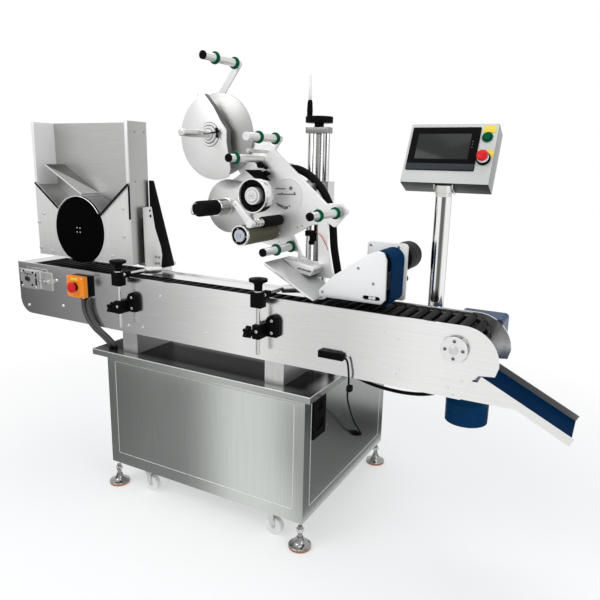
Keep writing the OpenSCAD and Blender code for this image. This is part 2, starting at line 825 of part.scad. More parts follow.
module tail_shaft() color(stainless) translate(home)
  sprocket_shaft(tail_x, front_y - tension_t, rear_y + tension_t);

module drive_gearmotor() color(motor_blue) translate(home) {
  x0 = drive_x - gearbox_w * 0.36;
  z1 = loop_z + gearbox_h * 0.42;
  z0 = z1 - gearbox_h;
  motor_y = rear_y + motor_d / 2 + gap;
  difference() {
    union() {
      slab_y(rear_y, rear_y + gearbox_d) translate([x0, z0]) rounded(gearbox_w, gearbox_h, gearbox_corner);
      translate([drive_x - gearbox_w * 0.05, motor_y, z0 - motor_len]) {
        cylinder(d = motor_d - 2 * fin_h, h = motor_len + gearbox_corner);
        cylinder(d = motor_d, h = motor_len * 0.28);
        translate([0, 0, motor_len * 0.9]) cylinder(d = motor_d, h = motor_len * 0.1);
        translate([-motor_d * 0.68, -motor_d / 5, motor_len * 0.42])
          cube([motor_d / 4, motor_d * 0.4, motor_len * 0.4]);
        for (i = [0 : fin_count - 1]) rotate(i * 360 / fin_count)
          translate([motor_d / 2 - 3 * fin_h, -fin_t / 2, 0]) cube([3 * fin_h, fin_t, motor_len]);
      }
    }
    bar_y([drive_x, rear_y - overrun, loop_z], shaft_d + 2 * fit, gearbox_d + 2 * overrun);
  }
}

module outlet_chute() translate(home) {
  color(white_metal) translate([chute_x, 0, chute_z]) rotate([0, chute_angle, 0]) {
    span([0, inner_front, -chute_sheet], [chute_len - chute_sheet, inner_rear, 0]);
    for (y = [inner_front, inner_rear - chute_sheet])
      span([0, y, -chute_sheet], [chute_len - chute_sheet, y + chute_sheet, chute_wall_h]);
  }
  color(white_metal) for (y = [inner_front, inner_rear - chute_sheet]) slab_y(y, y + chute_sheet)
    polygon([[chute_x - stand_w * 0.3, chute_z], [chute_x, chute_z],
      [chute_x + chute_reach * 0.45, chute_z - chute_drop * 0.45],
      [chute_x - stand_w * 0.6, conveyor_base_z]]);
  color(navy) translate([chute_x, 0, chute_z]) rotate([0, chute_angle, 0])
    span([0, inner_front + chute_sheet, 0], [chute_len - chute_sheet, inner_rear - chute_sheet, liner_t]);
}

// Stop box, sensor amplifier and cables
stop_y = front_y - stop_base_d;
stop_axis_x = stop_x + stop_button_shares[0] * stop_box_w;
stop_axis_z = stop_z + stop_button_shares[1] * stop_box_h;

module stop_box() translate(home) {
  color(black_plastic) {
    slab_y(stop_y, front_y) translate([stop_x, stop_z]) rounded(stop_box_w, stop_box_h, gearbox_corner / 3);
    for (r = [conduit_route_1, conduit_route_2]) bar_z(r[0], conduit_d * 1.6, gearbox_corner);
  }
  color(orange) slab_y(stop_y - stop_cover_d, stop_y) difference() {
    translate([stop_x, stop_z]) rounded(stop_box_w, stop_box_h, gearbox_corner / 3);
    translate([stop_axis_x, stop_axis_z]) circle(d = stem_d + 2 * fit);
  }
}

module stop_box_button() color(red) translate(home)
  translate([stop_axis_x, stop_y, stop_axis_z]) rotate([90, 0, 0]) {
    translate([0, 0, button_travel + gap])
      cylinder(d = stem_d, h = stop_cover_d + mushroom_stand - button_travel);
    translate([0, 0, stop_cover_d + mushroom_stand]) mushroom_head(mushroom_d / 2, mushroom_t);
  }

// Domed push button head, turned from its outline
module mushroom_head(r, t) rotate_extrude()
  polygon([[0, 0], [r * 0.85, 0], [r, t * 0.3], [r, t * 0.6], [r * 0.9, t * 0.85], [r * 0.6, t], [0, t]]);

module sensor_amplifier() color(black_plastic) translate(home) {
  span([amp_x, front_y - amp_d, amp_z], [amp_x + amp_w, front_y, amp_z + amp_h]);
  span([amp_x + amp_w * 0.15, front_y - amp_d * 0.7, amp_z + amp_h],
    [amp_x + amp_w * 0.6, front_y - amp_d * 0.3, amp_z + amp_h * 1.2]);
}

module control_cables() color(black_plastic) translate(home) {
  cable(conduit_route_1, conduit_d, 5, 10, [0, 1, 0.2]);
  cable(conduit_route_2, conduit_d, 5, 10, [0, 1, 0.2]);
  cable(sensor_route, sensor_cable_d, 5, 8, [1, 0.3, 0]);
}

module head_hose() color(black_plastic) translate(home)
  cable(hose_route, hose_d, 4, 12, [0, 1, 0]);

// Guide posts
module star_knob(d, t) {
  cylinder(d = d * 0.8, h = t);
  for (i = [0 : knob_lobes - 1]) rotate(i * 360 / knob_lobes)
    translate([d * 0.34, 0, 0]) cylinder(d = d * 0.34, h = t);
}

module guide_bracket(x) {
  body_x = x + (guide_clamp_w + guide_body_w) / 2;
  difference() {
    span([x - guide_clamp_w / 2, guide_y - guide_clamp_w / 2, guide_clamp_z],
      [x + guide_clamp_w / 2, front_y, guide_clamp_z + guide_clamp_h]);
    bar_z([x, guide_y, guide_clamp_z - overrun], guide_rod_d + 2 * fit, guide_clamp_h + 2 * overrun);
  }
  slab_y(front_y - guide_clamp_w / 2, front_y) {
    translate([x + guide_clamp_w / 2, guide_body_z]) square([guide_body_w, guide_body_h - guide_body_w / 2]);
    translate([body_x, guide_body_z + guide_body_h - guide_body_w / 2]) circle(d = guide_body_w);
  }
  for (z = [0.2, 0.75]) screw_y(body_x, front_y - guide_clamp_w / 2, guide_body_z + z * guide_body_h);
  translate([x - guide_clamp_w / 2, guide_y, guide_clamp_z + guide_clamp_h * 0.25]) rotate([0, -90, 0]) {
    cylinder(d = axle_d, h = guide_clamp_w / 2);
    translate([0, 0, guide_clamp_w / 2]) star_knob(knob_d, guide_clamp_w * 0.8);
  }
}

module guide_brackets() color(black_plastic) translate(home) for (x = guide_x) guide_bracket(x);

module guide_post(x) color(stainless) translate(home) {
  bar_z([x, guide_y, guide_bottom], guide_rod_d, guide_top - guide_bottom);
  bar_z([x, guide_y, guide_top], knob_disc_d, knob_disc_t);
  bar_z([x, guide_y, guide_top + knob_disc_t], knob_disc_d / 2, knob_disc_t / 2);
  span([x - guide_block_w * 0.45, guide_y - guide_clamp_w / 2, guide_block_z],
    [x + guide_block_w * 0.55, guide_y + guide_clamp_w / 2, guide_block_z + guide_block_h]);
  translate([x + guide_block_w * 0.3, guide_y, guide_block_z + guide_block_h * 0.8]) {
    bar_y([0, 0, 0], guide_rod_d, conveyor_w * 0.7);
    translate([0, conveyor_w * 0.62, 0]) rotate([0, 0, flap_tilt])
      translate([0, -flap_t / 2, -flap_h / 2]) cube([flap_w, flap_t, flap_h]);
  }
}

// Hopper
function hopper_point(s) = [hopper_x + s[0] * hopper_w, hopper_z + s[1] * hopper_h];

module hopper_shell() color(white_metal) translate(home) {
  for (x = [hopper_x, hopper_x + hopper_w - hopper_wall])
    span([x, hopper_front_y, hopper_z], [x + hopper_wall, hopper_back, hopper_z + hopper_h]);
  slab_y(hopper_back - hopper_plate, hopper_back) difference() {
    translate([hopper_x, hopper_z]) square([hopper_w, hopper_h]);
    translate([feed_x, feed_z]) circle(d = feed_shaft_d + 2 * gap);
  }
}

module hopper_front() translate(home) {
  a = hopper_point(slant_left_shares[0]);
  b = hopper_point(slant_left_shares[1]);
  c = hopper_point(slant_right_shares[0]);
  d = hopper_point(slant_right_shares[1]);
  color(white_metal) {
    slab_y(hopper_front_y - hopper_plate, hopper_front_y) difference() {
      union() {
        polygon([[hopper_x, hopper_z], [hopper_x, a[1]], a, b, [feed_x, b[1]], [feed_x, hopper_z]]);
        polygon([[hopper_x + hopper_w, hopper_z], [hopper_x + hopper_w, c[1]], c, d,
          [feed_x, d[1]], [feed_x, hopper_z]]);
      }
      translate([feed_x, feed_z]) circle(feed_wheel_r + feed_clear);
    }
    for (p = at_shares(hopper_screw_shares, hopper_x, hopper_z, hopper_w, hopper_h))
      screw_y(p[0], hopper_front_y - hopper_plate, p[1]);
  }
  color(black_plastic) for (s = [[a, b], [c, d]])
    slab_y(hopper_front_y - 2 * hopper_plate, hopper_front_y - hopper_plate) band(s[0], s[1], trim_t / 2);
}

module hopper_baffles() color(stainless) translate(home) {
  inner = hopper_back - hopper_plate;
  a = hopper_point(slant_left_shares[0]);
  b = hopper_point(slant_left_shares[1]);
  c = hopper_point(slant_right_shares[0]);
  d = hopper_point(slant_right_shares[1]);
  e = hopper_point(baffle_shares[0]);
  f = hopper_point(baffle_shares[1]);
  slab_y(hopper_front_y, inner) intersection() {
    union() {
      band(a, b, hopper_plate / 2);
      band(c, d, hopper_plate / 2);
      band(e, f, hopper_plate / 2);
    }
    translate([hopper_x + hopper_wall, hopper_z]) square([hopper_w - 2 * hopper_wall, hopper_h]);
  }
}

module feed_wheel() color(black_plastic) translate(home)
  translate([feed_x, hopper_front_y - hopper_plate, feed_z]) rotate([-90, 0, 0]) {
    depth = hopper_d - gap;
    cylinder(r = feed_wheel_r, h = feed_disc_t);
    linear_extrude(depth) difference() {
      circle(feed_wheel_r);
      for (i = [0 : feed_pockets - 1]) rotate(i * 360 / feed_pockets)
        translate([feed_wheel_r, 0]) circle(pocket_r);
    }
    cylinder(d = feed_shaft_d, h = depth + feed_box_d);
    for (i = [0 : 3]) rotate(45 + i * 90)
      translate([feed_hub_d / 2, 0, -screw_head_h]) cylinder(d = screw_head_d, h = screw_head_h);
  }

module feed_motor() color(black_plastic) translate(home) difference() {
  union() {
    slab_y(hopper_back, hopper_back + feed_box_d)
      translate([feed_x - feed_box_w / 2, feed_z - feed_box_w / 2])
        rounded(feed_box_w, feed_box_w, gearbox_corner);
    bar_y([feed_x, hopper_back + feed_box_d, feed_z], feed_motor_d, feed_motor_len);
  }
  bar_y([feed_x, hopper_back - overrun, feed_z], feed_shaft_d + 2 * fit, feed_box_d + overrun);
}

shelf_rise = 17;
shelf_w = 170;
shelf_z = conveyor_top + shelf_rise;
shelf_x = hopper_x + hopper_w - 0.6 * shelf_w;
lug = 12;
stay_h = 217;
gusset_h = 316;
shelf_t = 12;
leg_w = 60;

module support_brackets() translate(home) {
  right = hopper_x + hopper_w;
  stay_y = hopper_back + lug;
  left_stay = hopper_x + 2 * leg_w;
  color(stainless) {
    span([shelf_x, rear_y, shelf_z - shelf_t], [shelf_x + shelf_w, rear_y + shelf_w * 0.75, shelf_z]);
    span([shelf_x + leg_w / 2, rear_y + leg_w / 2, table_z],
      [shelf_x + 1.5 * leg_w, rear_y + 1.5 * leg_w, shelf_z - shelf_t]);
    slab_x(right, right + hopper_plate) difference() {
      polygon([[hopper_back - 2 * lug, shelf_z], [hopper_back - 2 * lug, shelf_z + stay_h],
        [hopper_back, shelf_z + stay_h], [rear_y + leg_w, shelf_z + 2 * lug], [rear_y + leg_w, shelf_z]]);
      slot_2d([stay_y, shelf_z + 0.2 * stay_h], [stay_y, shelf_z + 0.5 * stay_h], tie_d / 2);
      translate([3 * lug, 0])
        slot_2d([stay_y, shelf_z + 0.15 * stay_h], [stay_y, shelf_z + 0.3 * stay_h], tie_d / 2);
    }
    span([left_stay, rear_y, loop_z], [left_stay + leg_w * 0.6, rear_y + shelf_t / 2, hopper_z + leg_w]);
    span([left_stay, hopper_back, hopper_z + leg_w / 3],
      [left_stay + leg_w * 0.6, rear_y + shelf_t / 2, hopper_z + leg_w]);
  }
  color(black_plastic) slab_x(right + 2 * hopper_plate, right + 3.5 * hopper_plate)
    polygon([[stay_y, shelf_z], [stay_y, shelf_z + gusset_h], [stay_y + lug, shelf_z + gusset_h],
      [rear_y + shelf_w * 0.7, shelf_z + lug], [rear_y + shelf_w * 0.7, shelf_z]]);
  color(black_plastic) for (s = [0.25, 0.55])
    bar_x([right + hopper_plate, stay_y + lug, shelf_z + s * stay_h], tie_d, hopper_plate);
  color(white_metal) span([bracket_x, rear_y, conveyor_base_z + leg_w],
    [bracket_x + bracket_w, rear_y + bracket_t, bracket_top]);
  color(white_metal) for (z = [post_bottom + leg_w * 0.6, conveyor_top - leg_w * 0.8]) difference() {
    span([post_x - leg_w * 0.6, rear_y, z], [post_x + leg_w * 0.6, post_y + post_d * 0.75, z + leg_w / 2]);
    bar_z([post_x, post_y, z - overrun], post_d, leg_w / 2 + 2 * overrun);
  }
}

// Lift column
module column_rods(extra, z0, z1) for (s = [-1, 1])
  bar_z([column_x + s * rod_gap / 2, column_y, z0], rod_d + extra, z1 - z0);

module column_block(w, d, z0, z1)
  span([column_x - w / 2, column_y - d / 2, z0], [column_x + w / 2, column_y + d / 2, z1]);

module column_stand() color(stainless) translate(home) {
  top0 = column_top - top_plate_t;
  difference() {
    union() {
      column_block(1.6 * column_w, 2 * column_d, table_z, table_z + base_plate_t);
      column_block(column_w, column_d, top0, column_top);
    }
    bar_z([column_x, column_y, table_z + base_plate_t / 2], screw_d + 2 * fit, column_h);
  }
  column_rods(0, table_z + base_plate_t, top0);
}

module handwheel() translate(home) translate([column_x, column_y, 0]) {
  z0 = column_top + gap;
  rim_z = column_top + wheel_hub_d / 2;
  screw_z = table_z + base_plate_t / 2 + gap;
  grip_x = -handwheel_d * 0.36;
  color(stainless) bar_z([0, 0, screw_z], screw_d, z0 - screw_z);
  color(black_plastic) {
    bar_z([0, 0, z0], wheel_hub_d, rim_z + wheel_rim_w - z0);
    translate([0, 0, rim_z]) difference() {
      cylinder(d = handwheel_d, h = wheel_rim_w);
      translate([0, 0, wheel_rim_w * 0.6]) difference() {
        cylinder(d = handwheel_d * 0.8, h = wheel_rim_w);
        translate([0, 0, -overrun]) cylinder(d = wheel_hub_d, h = wheel_rim_w + 2 * overrun);
      }
      for (i = [0 : rim_notches - 1]) rotate(i * 360 / rim_notches)
        translate([handwheel_d / 2, 0, -overrun]) cylinder(d = spike_d / 2, h = wheel_rim_w + 2 * overrun);
    }
    bar_z([grip_x, 0, rim_z], grip_d, grip_len + wheel_rim_w);
  }
  color(white_metal) translate([grip_x, 0, rim_z + grip_len + wheel_rim_w])
    cylinder(d1 = spike_d, d2 = spike_d / 4, h = spike_len);
}

module lift_carriage() color(stainless) translate(home) difference() {
  union() {
    column_block(column_w, column_d, carriage_z, carriage_z + carriage_h);
    span([column_x - column_w * 0.36, head_back, carriage_z + carriage_h * 0.06],
      [column_x + column_w * 0.36, column_y - column_d / 2 + overrun, carriage_z + carriage_h * 0.94]);
  }
  column_rods(2 * fit, carriage_z - overrun, carriage_z + carriage_h + overrun);
  bar_z([column_x, column_y, carriage_z - overrun], screw_d + 2 * gap, carriage_h + 2 * overrun);
}

// Label head
function head_point(s) = [head_x + s[0] * head_w, head_z + s[1] * head_h];
supply_at = head_point(supply_shares);
rewind_at = head_point(rewind_shares);
traction_at = head_point(traction_shares);
brake_at = head_point(brake_shares);
dancer_at = head_point(dancer_pivot_shares);
pinch_at = traction_at + ((traction_d + pinch_d) / 2 + pinch_gap) * [cos(pinch_angle), sin(pinch_angle)];
roller_at = [for (s = roller_shares) head_point(s)];

lever_y = head_front - pinch_pin_len + disc_t;

module head_pin(p, len) bar_y([p[0], head_front - len, p[1]], pin_d, len + overrun);

module head_plate() color(white_metal) translate(home) {
  slab_y(head_front, head_back) difference() {
    union() {
      polygon(at_shares(head_outline_shares, head_x, head_z, head_w, head_h));
      polygon(at_shares(tab_shares, head_x, head_z, head_w, head_h));
      polygon(at_shares(bridge_shares, head_x, head_z, head_w, head_h));
      band(supply_at, dancer_at, arm_w);
      band(roller_at[1], head_point(lug_shares[0]), arm_w / 2);
      band(rewind_at, head_point(lug_shares[1]), arm_w);
    }
    for (p = [supply_at, rewind_at, traction_at, brake_at])
      translate(p) circle(d = journal_d + 2 * fit);
  }
  for (i = [1 : 4]) head_pin(roller_at[i], roller_len - cap_t);
  head_pin(pinch_at, pinch_pin_len);
  slab_y(head_front - pinch_collar_shares[1] * pinch_pin_len,
    head_front - pinch_collar_shares[0] * pinch_pin_len) translate(pinch_at) circle(d = pinch_collar_d);
  slab_y(lever_y, lever_y + lever_t) band(pinch_at, head_point(lever_shares), lever_w / 2);
  head_pin(dancer_at, arm_t + 2 * gap);
  head_pin(head_point(stay_shares), stay_len);
}

module head_drive() color(stainless) translate(home) difference() {
  span([head_x + head_w * 0.2, head_back, head_z + head_h * 0.13],
    [head_x + head_w * 0.2 + drive_box_w, head_back + drive_box_d, head_z + head_h * 0.81]);
  for (p = [traction_at, brake_at])
    bar_y([p[0], head_back - overrun, p[1]], collar_d + 2 * gap, collar_t + gap + overrun);
}

module peel_plate() color(white_metal) translate(home) {
  a = head_point(blade_shares[0]);
  b = head_point(blade_shares[1]);
  slab_y(blade_front, blade_back) band(a, b, blade_t / 2);
  slab_y(blade_back, head_front) difference() {
    polygon(at_shares(peel_shares, head_x, head_z, head_w, head_h));
    translate(roller_at[4]) circle(d = ring_d + overrun);
  }
  slab_y(blade_front, blade_back) translate(a) rotate(atan2(b[1] - a[1], b[0] - a[0]))
    translate([norm(b - a) * 0.15, 0]) square([norm(b - a) * 0.3, arm_w * 0.8]);
}

module dancer_arm() translate(home) {
  end = roller_at[0];
  color(white_metal) slab_y(arm_y, arm_y + arm_t) difference() {
    band(dancer_at, end, arm_w / 2);
    translate(dancer_at) circle(d = pin_d + 2 * fit);
  }
  color(stainless) bar_y([end[0], arm_y - roller_len + cap_t, end[1]], pin_d, roller_len - cap_t + overrun);
}

module guide_roller(i) {
  p = roller_at[i - 1];
  back = (i == 1 ? arm_y : head_front) - gap;
  translate(home) translate([p[0], back, p[1]]) rotate([90, 0, 0]) difference() {
    union() {
      color(stainless) cylinder(d = roller_d, h = roller_len);
      color(green) for (s = [0.18, 0.82])
        translate([0, 0, s * roller_len - ring_w / 2]) cylinder(d = ring_d, h = ring_w);
    }
    translate([0, 0, -overrun]) cylinder(d = pin_d + 2 * fit, h = roller_len - cap_t + gap + overrun);
  }
}

module journal(p) {
  bar_y([p[0], reel_back, p[1]], journal_d, head_back - reel_back + gap);
  bar_y([p[0], head_back + gap, p[1]], collar_d, collar_t - gap);
}

module supply_reel() translate(home) {
  p = supply_at;
  flange_y = reel_back - label_w;
  color(stainless) {
    bar_y([p[0], reel_back - spindle_len, p[1]], spindle_d, spindle_len);
    bar_y([p[0], reel_back - disc_t, p[1]], 2 * reel_r, disc_t);
    bar_y([p[0], flange_y - disc_t, p[1]], 2 * hub_r, label_w + disc_t);
    bar_y([p[0], flange_y - 3 * disc_t, p[1]], 1.3 * hub_r, 3 * disc_t);
    slab_y(flange_y - disc_t, flange_y) difference() {
      union() {
        translate(p) circle(reel_r * 0.95);
        translate(p + reel_r * 0.9 * [cos(118), sin(118)]) circle(reel_r * 0.12);
      }
      translate(p) rotate(-20) translate([reel_r * 0.42, -reel_r * 1.5]) square([reel_r, reel_r * 3]);
      translate(p) rotate(24) translate([reel_r * 0.5, -reel_r * 1.5]) square([reel_r, reel_r * 3]);
    }
  }
  color(black_plastic) slab_y(flange_y - 4 * disc_t, flange_y - disc_t) {
    band(p + [hub_r * 0.1, hub_r * 0.1], p + [hub_r * 0.9, hub_r * 0.5], disc_t);
    band(p + [hub_r * 0.8, hub_r * 0.8], p + [hub_r * 1.1, -hub_r * 0.4], disc_t);
  }
  color(stainless) journal(p);
}

module rewind_reel() translate(home) {
  p = rewind_at;
  drum_front = reel_back - rewind_drum_len;
  grip_front = drum_front - rewind_grip_len;
  color(stainless) {
    bar_y([p[0], reel_back - disc_t, p[1]], 2 * rewind_r, disc_t);
    bar_y([p[0], drum_front, p[1]], rewind_drum_d, rewind_drum_len);
    for (z = [-1, 1]) bar_y([p[0], grip_front - wire_reach, p[1] + z * wire_h / 2], wire_d, wire_reach);
    bar_z([p[0], grip_front - wire_reach, p[1] - wire_h / 2], wire_d, wire_h);
    journal(p);
  }
  color(black_plastic) {
    bar_y([p[0], grip_front + disc_t, p[1]], rewind_grip_d, rewind_grip_len - disc_t);
    bar_y([p[0], grip_front, p[1]], rewind_grip_d * 0.84, disc_t);
  }
}

module traction_roller() translate(home) {
  p = traction_at;
  front = reel_back - spindle_len * 0.92;
  color(olive) bar_y([p[0], front, p[1]], traction_d, reel_back - disc_t - front);
  color(stainless) {
    bar_y([p[0], reel_back - disc_t - gap, p[1]], journal_d, disc_t + 2 * gap);
    bar_y([p[0], front - cap_t, p[1]], journal_d, cap_t);
    journal(p);
  }
}

module pinch_roller() color(black_plastic) translate(home)
  translate([pinch_at[0], reel_back, pinch_at[1]]) rotate([90, 0, 0]) difference() {
    cylinder(d = pinch_d, h = pinch_len);
    translate([0, 0, -overrun]) cylinder(d = pin_d + 2 * fit, h = pinch_len + 2 * overrun);
  }

module brake_wheel() translate(home) {
  p = brake_at;
  front = head_front - brake_reach;
  color(black_plastic) slab_y(front, front + brake_rim_w) translate(p) difference() {
    circle(brake_wheel_r);
    for (i = [0 : 5]) rotate(60 * i + 15) translate([brake_wheel_r * 0.62, 0]) circle(brake_wheel_r * 0.2);
  }
  color(white_metal) {
    bar_y([p[0], front - disc_t, p[1]], 0.9 * brake_wheel_r, reel_back + disc_t - front);
    journal(p);
  }
}

// Press unit
function press_point(s) = [press_x + s[0] * press_w, press_z + s[1] * press_h];
press_pulleys = [for (s = press_pulley_shares) press_point(s)];

module press_slots() for (s = press_slot_shares)
  slot_2d(press_point([s - 0.04, 0.2]), press_point([s + 0.04, 0.2]), arm_t);

module press_plate_profile()
  polygon(at_shares(press_shares, press_x, press_z, press_w, press_h));

module press_unit() translate(home) {
  inside = press_d - 2 * press_plate_t;
  tie = press_point(press_tie_shares);
  corner = press_point(rear_plate_shares);
  color(white_metal) {
    slab_y(press_front, press_front + press_plate_t) difference() {
      press_plate_profile();
      press_slots();
    }
    slab_y(press_back - press_plate_t, press_back) difference() {
      union() {
        press_plate_profile();
        translate(corner) rounded(rear_plate_w, rear_plate_h, rear_plate_corner);
      }
      press_slots();
    }
    for (s = press_screw_shares) screw_y(press_point(s)[0], press_front, press_point(s)[1]);
    for (s = rear_screw_shares)
      screw_y(press_point(s)[0], press_back - press_plate_t, press_point(s)[1]);
    for (i = [0 : 2])
      bar_y([press_pulleys[i][0], press_front + press_plate_t, press_pulleys[i][1]],
        2 * (press_pulley_sizes[i] - belt_t - gap), inside);
    bar_y([tie[0], press_front + press_plate_t, tie[1]], tie_d, inside);
    span([bracket_x + gap, press_back, press_z + press_h * 0.25],
      [bracket_x + bracket_w - gap, rear_y - gap, press_z + press_h * 0.7]);
  }
  color(black_plastic) translate([motor_offset, 0, 0])
    bar_y([press_pulleys[2][0], press_back, press_pulleys[2][1]], 2 * press_motor_r, press_motor_len);
}

module press_belt() color(navy) translate(home)
  slab_y(press_front + press_plate_t + belt_side, press_back - press_plate_t - belt_side) difference() {
    belt_area(press_pulleys, press_pulley_sizes, 0);
    belt_area(press_pulleys, press_pulley_sizes, belt_t);
  }

// Console
module console_post() color(stainless) translate(home) {
  bar_z([post_x, post_y, post_bottom], post_d, post_top - post_bottom);
}

// Frame of the console face: X right, Y up the face, Z out of the face
module on_face()
  translate([post_x, console_face_y, console_face_z]) rotate([90 - console_tilt, 0, 0]) children();

module console_box() translate(home) {
  difference() {
    union() {
      color(white_metal) on_face() translate([-console_w / 2, -console_h / 2, -console_d])
        linear_extrude(console_d) rounded(console_w, console_h, gearbox_corner / 2);
      color(stainless) bar_z([post_x, post_y, post_top + gap], neck_d, neck_h - gap);
      color(stainless) on_face() for (u = [-rib_u, rib_u])
        translate([u - rib_t / 2, -console_h / 2 - rib_h, -console_d])
          cube([rib_t, 2 * rib_h, console_d - rib_t]);
    }
    on_face() for (v = [start_v, console_stop_v]) translate([start_u, v, -console_d / 2])
      cylinder(d = stem_d + 2 * fit, h = console_d);
  }
  color(black_plastic) on_face() difference() {
    translate([bezel_u - bezel_w / 2, bezel_v - bezel_h / 2, 0]) cube([bezel_w, bezel_h, bezel_t]);
    translate([screen_u - screen_w / 2, screen_v - screen_h / 2, bezel_t / 2])
      cube([screen_w, screen_h, bezel_t]);
  }
}

module face_button(v, d, t) on_face() translate([start_u, v, 0]) {
  stem_z = button_travel + gap - console_d / 2;
  translate([0, 0, stem_z]) cylinder(d = stem_d, h = t - stem_z);
  translate([0, 0, button_travel + 2 * gap]) cylinder(d = d, h = t);
}

module start_button() color(green) translate(home) face_button(start_v, button_d, bezel_ring_t);

module console_stop_button() color(red) translate(home) {
  face_button(console_stop_v, stem_d, knob_h);
  on_face() translate([start_u, console_stop_v, button_travel + 2 * gap])
    mushroom_head(mushroom_d * 0.46, knob_h);
}

cabinet_frame();
cabinet_panels();
table_top();
power_inlet();
levelling_feet();
caster_fork(1);  // caster_fork_1
caster_fork(2);  // caster_fork_2
caster_fork(3);  // caster_fork_3
caster_fork(4);  // caster_fork_4
caster_wheel(1);  // caster_wheel_1
caster_wheel(2);  // caster_wheel_2
caster_wheel(3);  // caster_wheel_3
caster_wheel(4);  // caster_wheel_4
front_side_plate();
rear_side_plate();
conveyor_supports();
carrier_chain();
carrier_rollers();
shaft_bearings();
drive_shaft();
tail_shaft();
drive_gearmotor();
outlet_chute();
stop_box();
stop_box_button();
sensor_amplifier();
control_cables();
guide_brackets();
guide_post(guide_x[0]);  // guide_post_left
guide_post(guide_x[1]);  // guide_post_right
hopper_shell();
hopper_front();
hopper_baffles();
support_brackets();
feed_wheel();
feed_motor();
column_stand();
handwheel();
lift_carriage();
head_plate();
head_drive();
peel_plate();
dancer_arm();
supply_reel();
rewind_reel();
traction_roller();
pinch_roller();
brake_wheel();
guide_roller(1);  // guide_roller_1
guide_roller(2);  // guide_roller_2
guide_roller(3);  // guide_roller_3
guide_roller(4);  // guide_roller_4
guide_roller(5);  // guide_roller_5
head_hose();
press_unit();
press_belt();
console_post();
console_box();
start_button();
console_stop_button();
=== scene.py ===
from math import atan2, cos, degrees, radians, sin

import bmesh
import bpy
from mathutils import Matrix, Vector


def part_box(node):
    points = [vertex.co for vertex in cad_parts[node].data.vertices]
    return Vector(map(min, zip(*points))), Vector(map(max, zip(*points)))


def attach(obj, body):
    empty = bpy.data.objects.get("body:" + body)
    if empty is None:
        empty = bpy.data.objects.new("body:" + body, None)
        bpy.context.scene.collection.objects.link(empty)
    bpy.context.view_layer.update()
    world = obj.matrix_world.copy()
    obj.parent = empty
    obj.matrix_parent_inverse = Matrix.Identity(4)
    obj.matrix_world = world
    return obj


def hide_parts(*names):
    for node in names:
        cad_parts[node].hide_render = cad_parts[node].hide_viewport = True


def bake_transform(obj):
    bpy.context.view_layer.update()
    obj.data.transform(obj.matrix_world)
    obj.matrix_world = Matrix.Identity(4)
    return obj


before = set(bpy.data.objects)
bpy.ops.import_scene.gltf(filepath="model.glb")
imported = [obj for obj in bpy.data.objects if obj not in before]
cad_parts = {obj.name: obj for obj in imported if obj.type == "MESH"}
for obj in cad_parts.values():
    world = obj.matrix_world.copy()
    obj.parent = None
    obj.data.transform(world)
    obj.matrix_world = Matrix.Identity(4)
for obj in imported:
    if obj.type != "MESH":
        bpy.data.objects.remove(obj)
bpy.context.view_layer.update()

shell_lo, shell_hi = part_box("cabinet_frame")
middle = (shell_lo + shell_hi) / 2
Z = Vector((0, 0, 1))

# Axes of the label head and the conveyor, and the planes that pieces are fixed to, in millimetres
SUPPLY_REEL, REWIND_REEL, DANCER = (-23.9, 1335.9), (15.9, 1099.1), (-60.3, 1413)
TRACTION, PINCH, BRAKE, LIFT_SCREW = (183.9, 1026.8), (216.74, 1064.65), (165.9, 1144.0), (278, -25)
FEED_X, FEED_Z = -579.2, 984.9
DRIVE_X, DRIVE_Z = 870, 776
HEAD_FACE, REEL_SEAT, PLATE_FACE = -169, -177, -351

# Directions a turned piece can grow in
FRONT, BACK, UP, DOWN, RIGHT, LEFT = (0, -1, 0), (0, 1, 0), (0, 0, 1), (0, 0, -1), (1, 0, 0), (-1, 0, 0)

# The photograph's viewpoint, in metres and degrees
EYE = (1.08584, -1.87471, 1.25618)
YAW, PITCH, ROLL = radians(28.39), radians(13.09), radians(1.24)
SENSOR, LENS = 36, 35.870


def add_camera():
    data = bpy.data.cameras.new("camera")
    data.sensor_width = SENSOR
    data.lens = LENS
    camera = bpy.data.objects.new("camera", data)
    bpy.context.scene.collection.objects.link(camera)
    back = Vector((sin(YAW) * cos(PITCH), -cos(YAW) * cos(PITCH), sin(PITCH)))
    level = (-back).cross(Z).normalized()
    rise = level.cross(-back)
    right = cos(ROLL) * level + sin(ROLL) * rise
    up = -sin(ROLL) * level + cos(ROLL) * rise
    turn = Matrix((right, up, back)).transposed()
    camera.matrix_world = Matrix.Translation(EYE) @ turn.to_4x4()
    bpy.context.scene.camera = camera


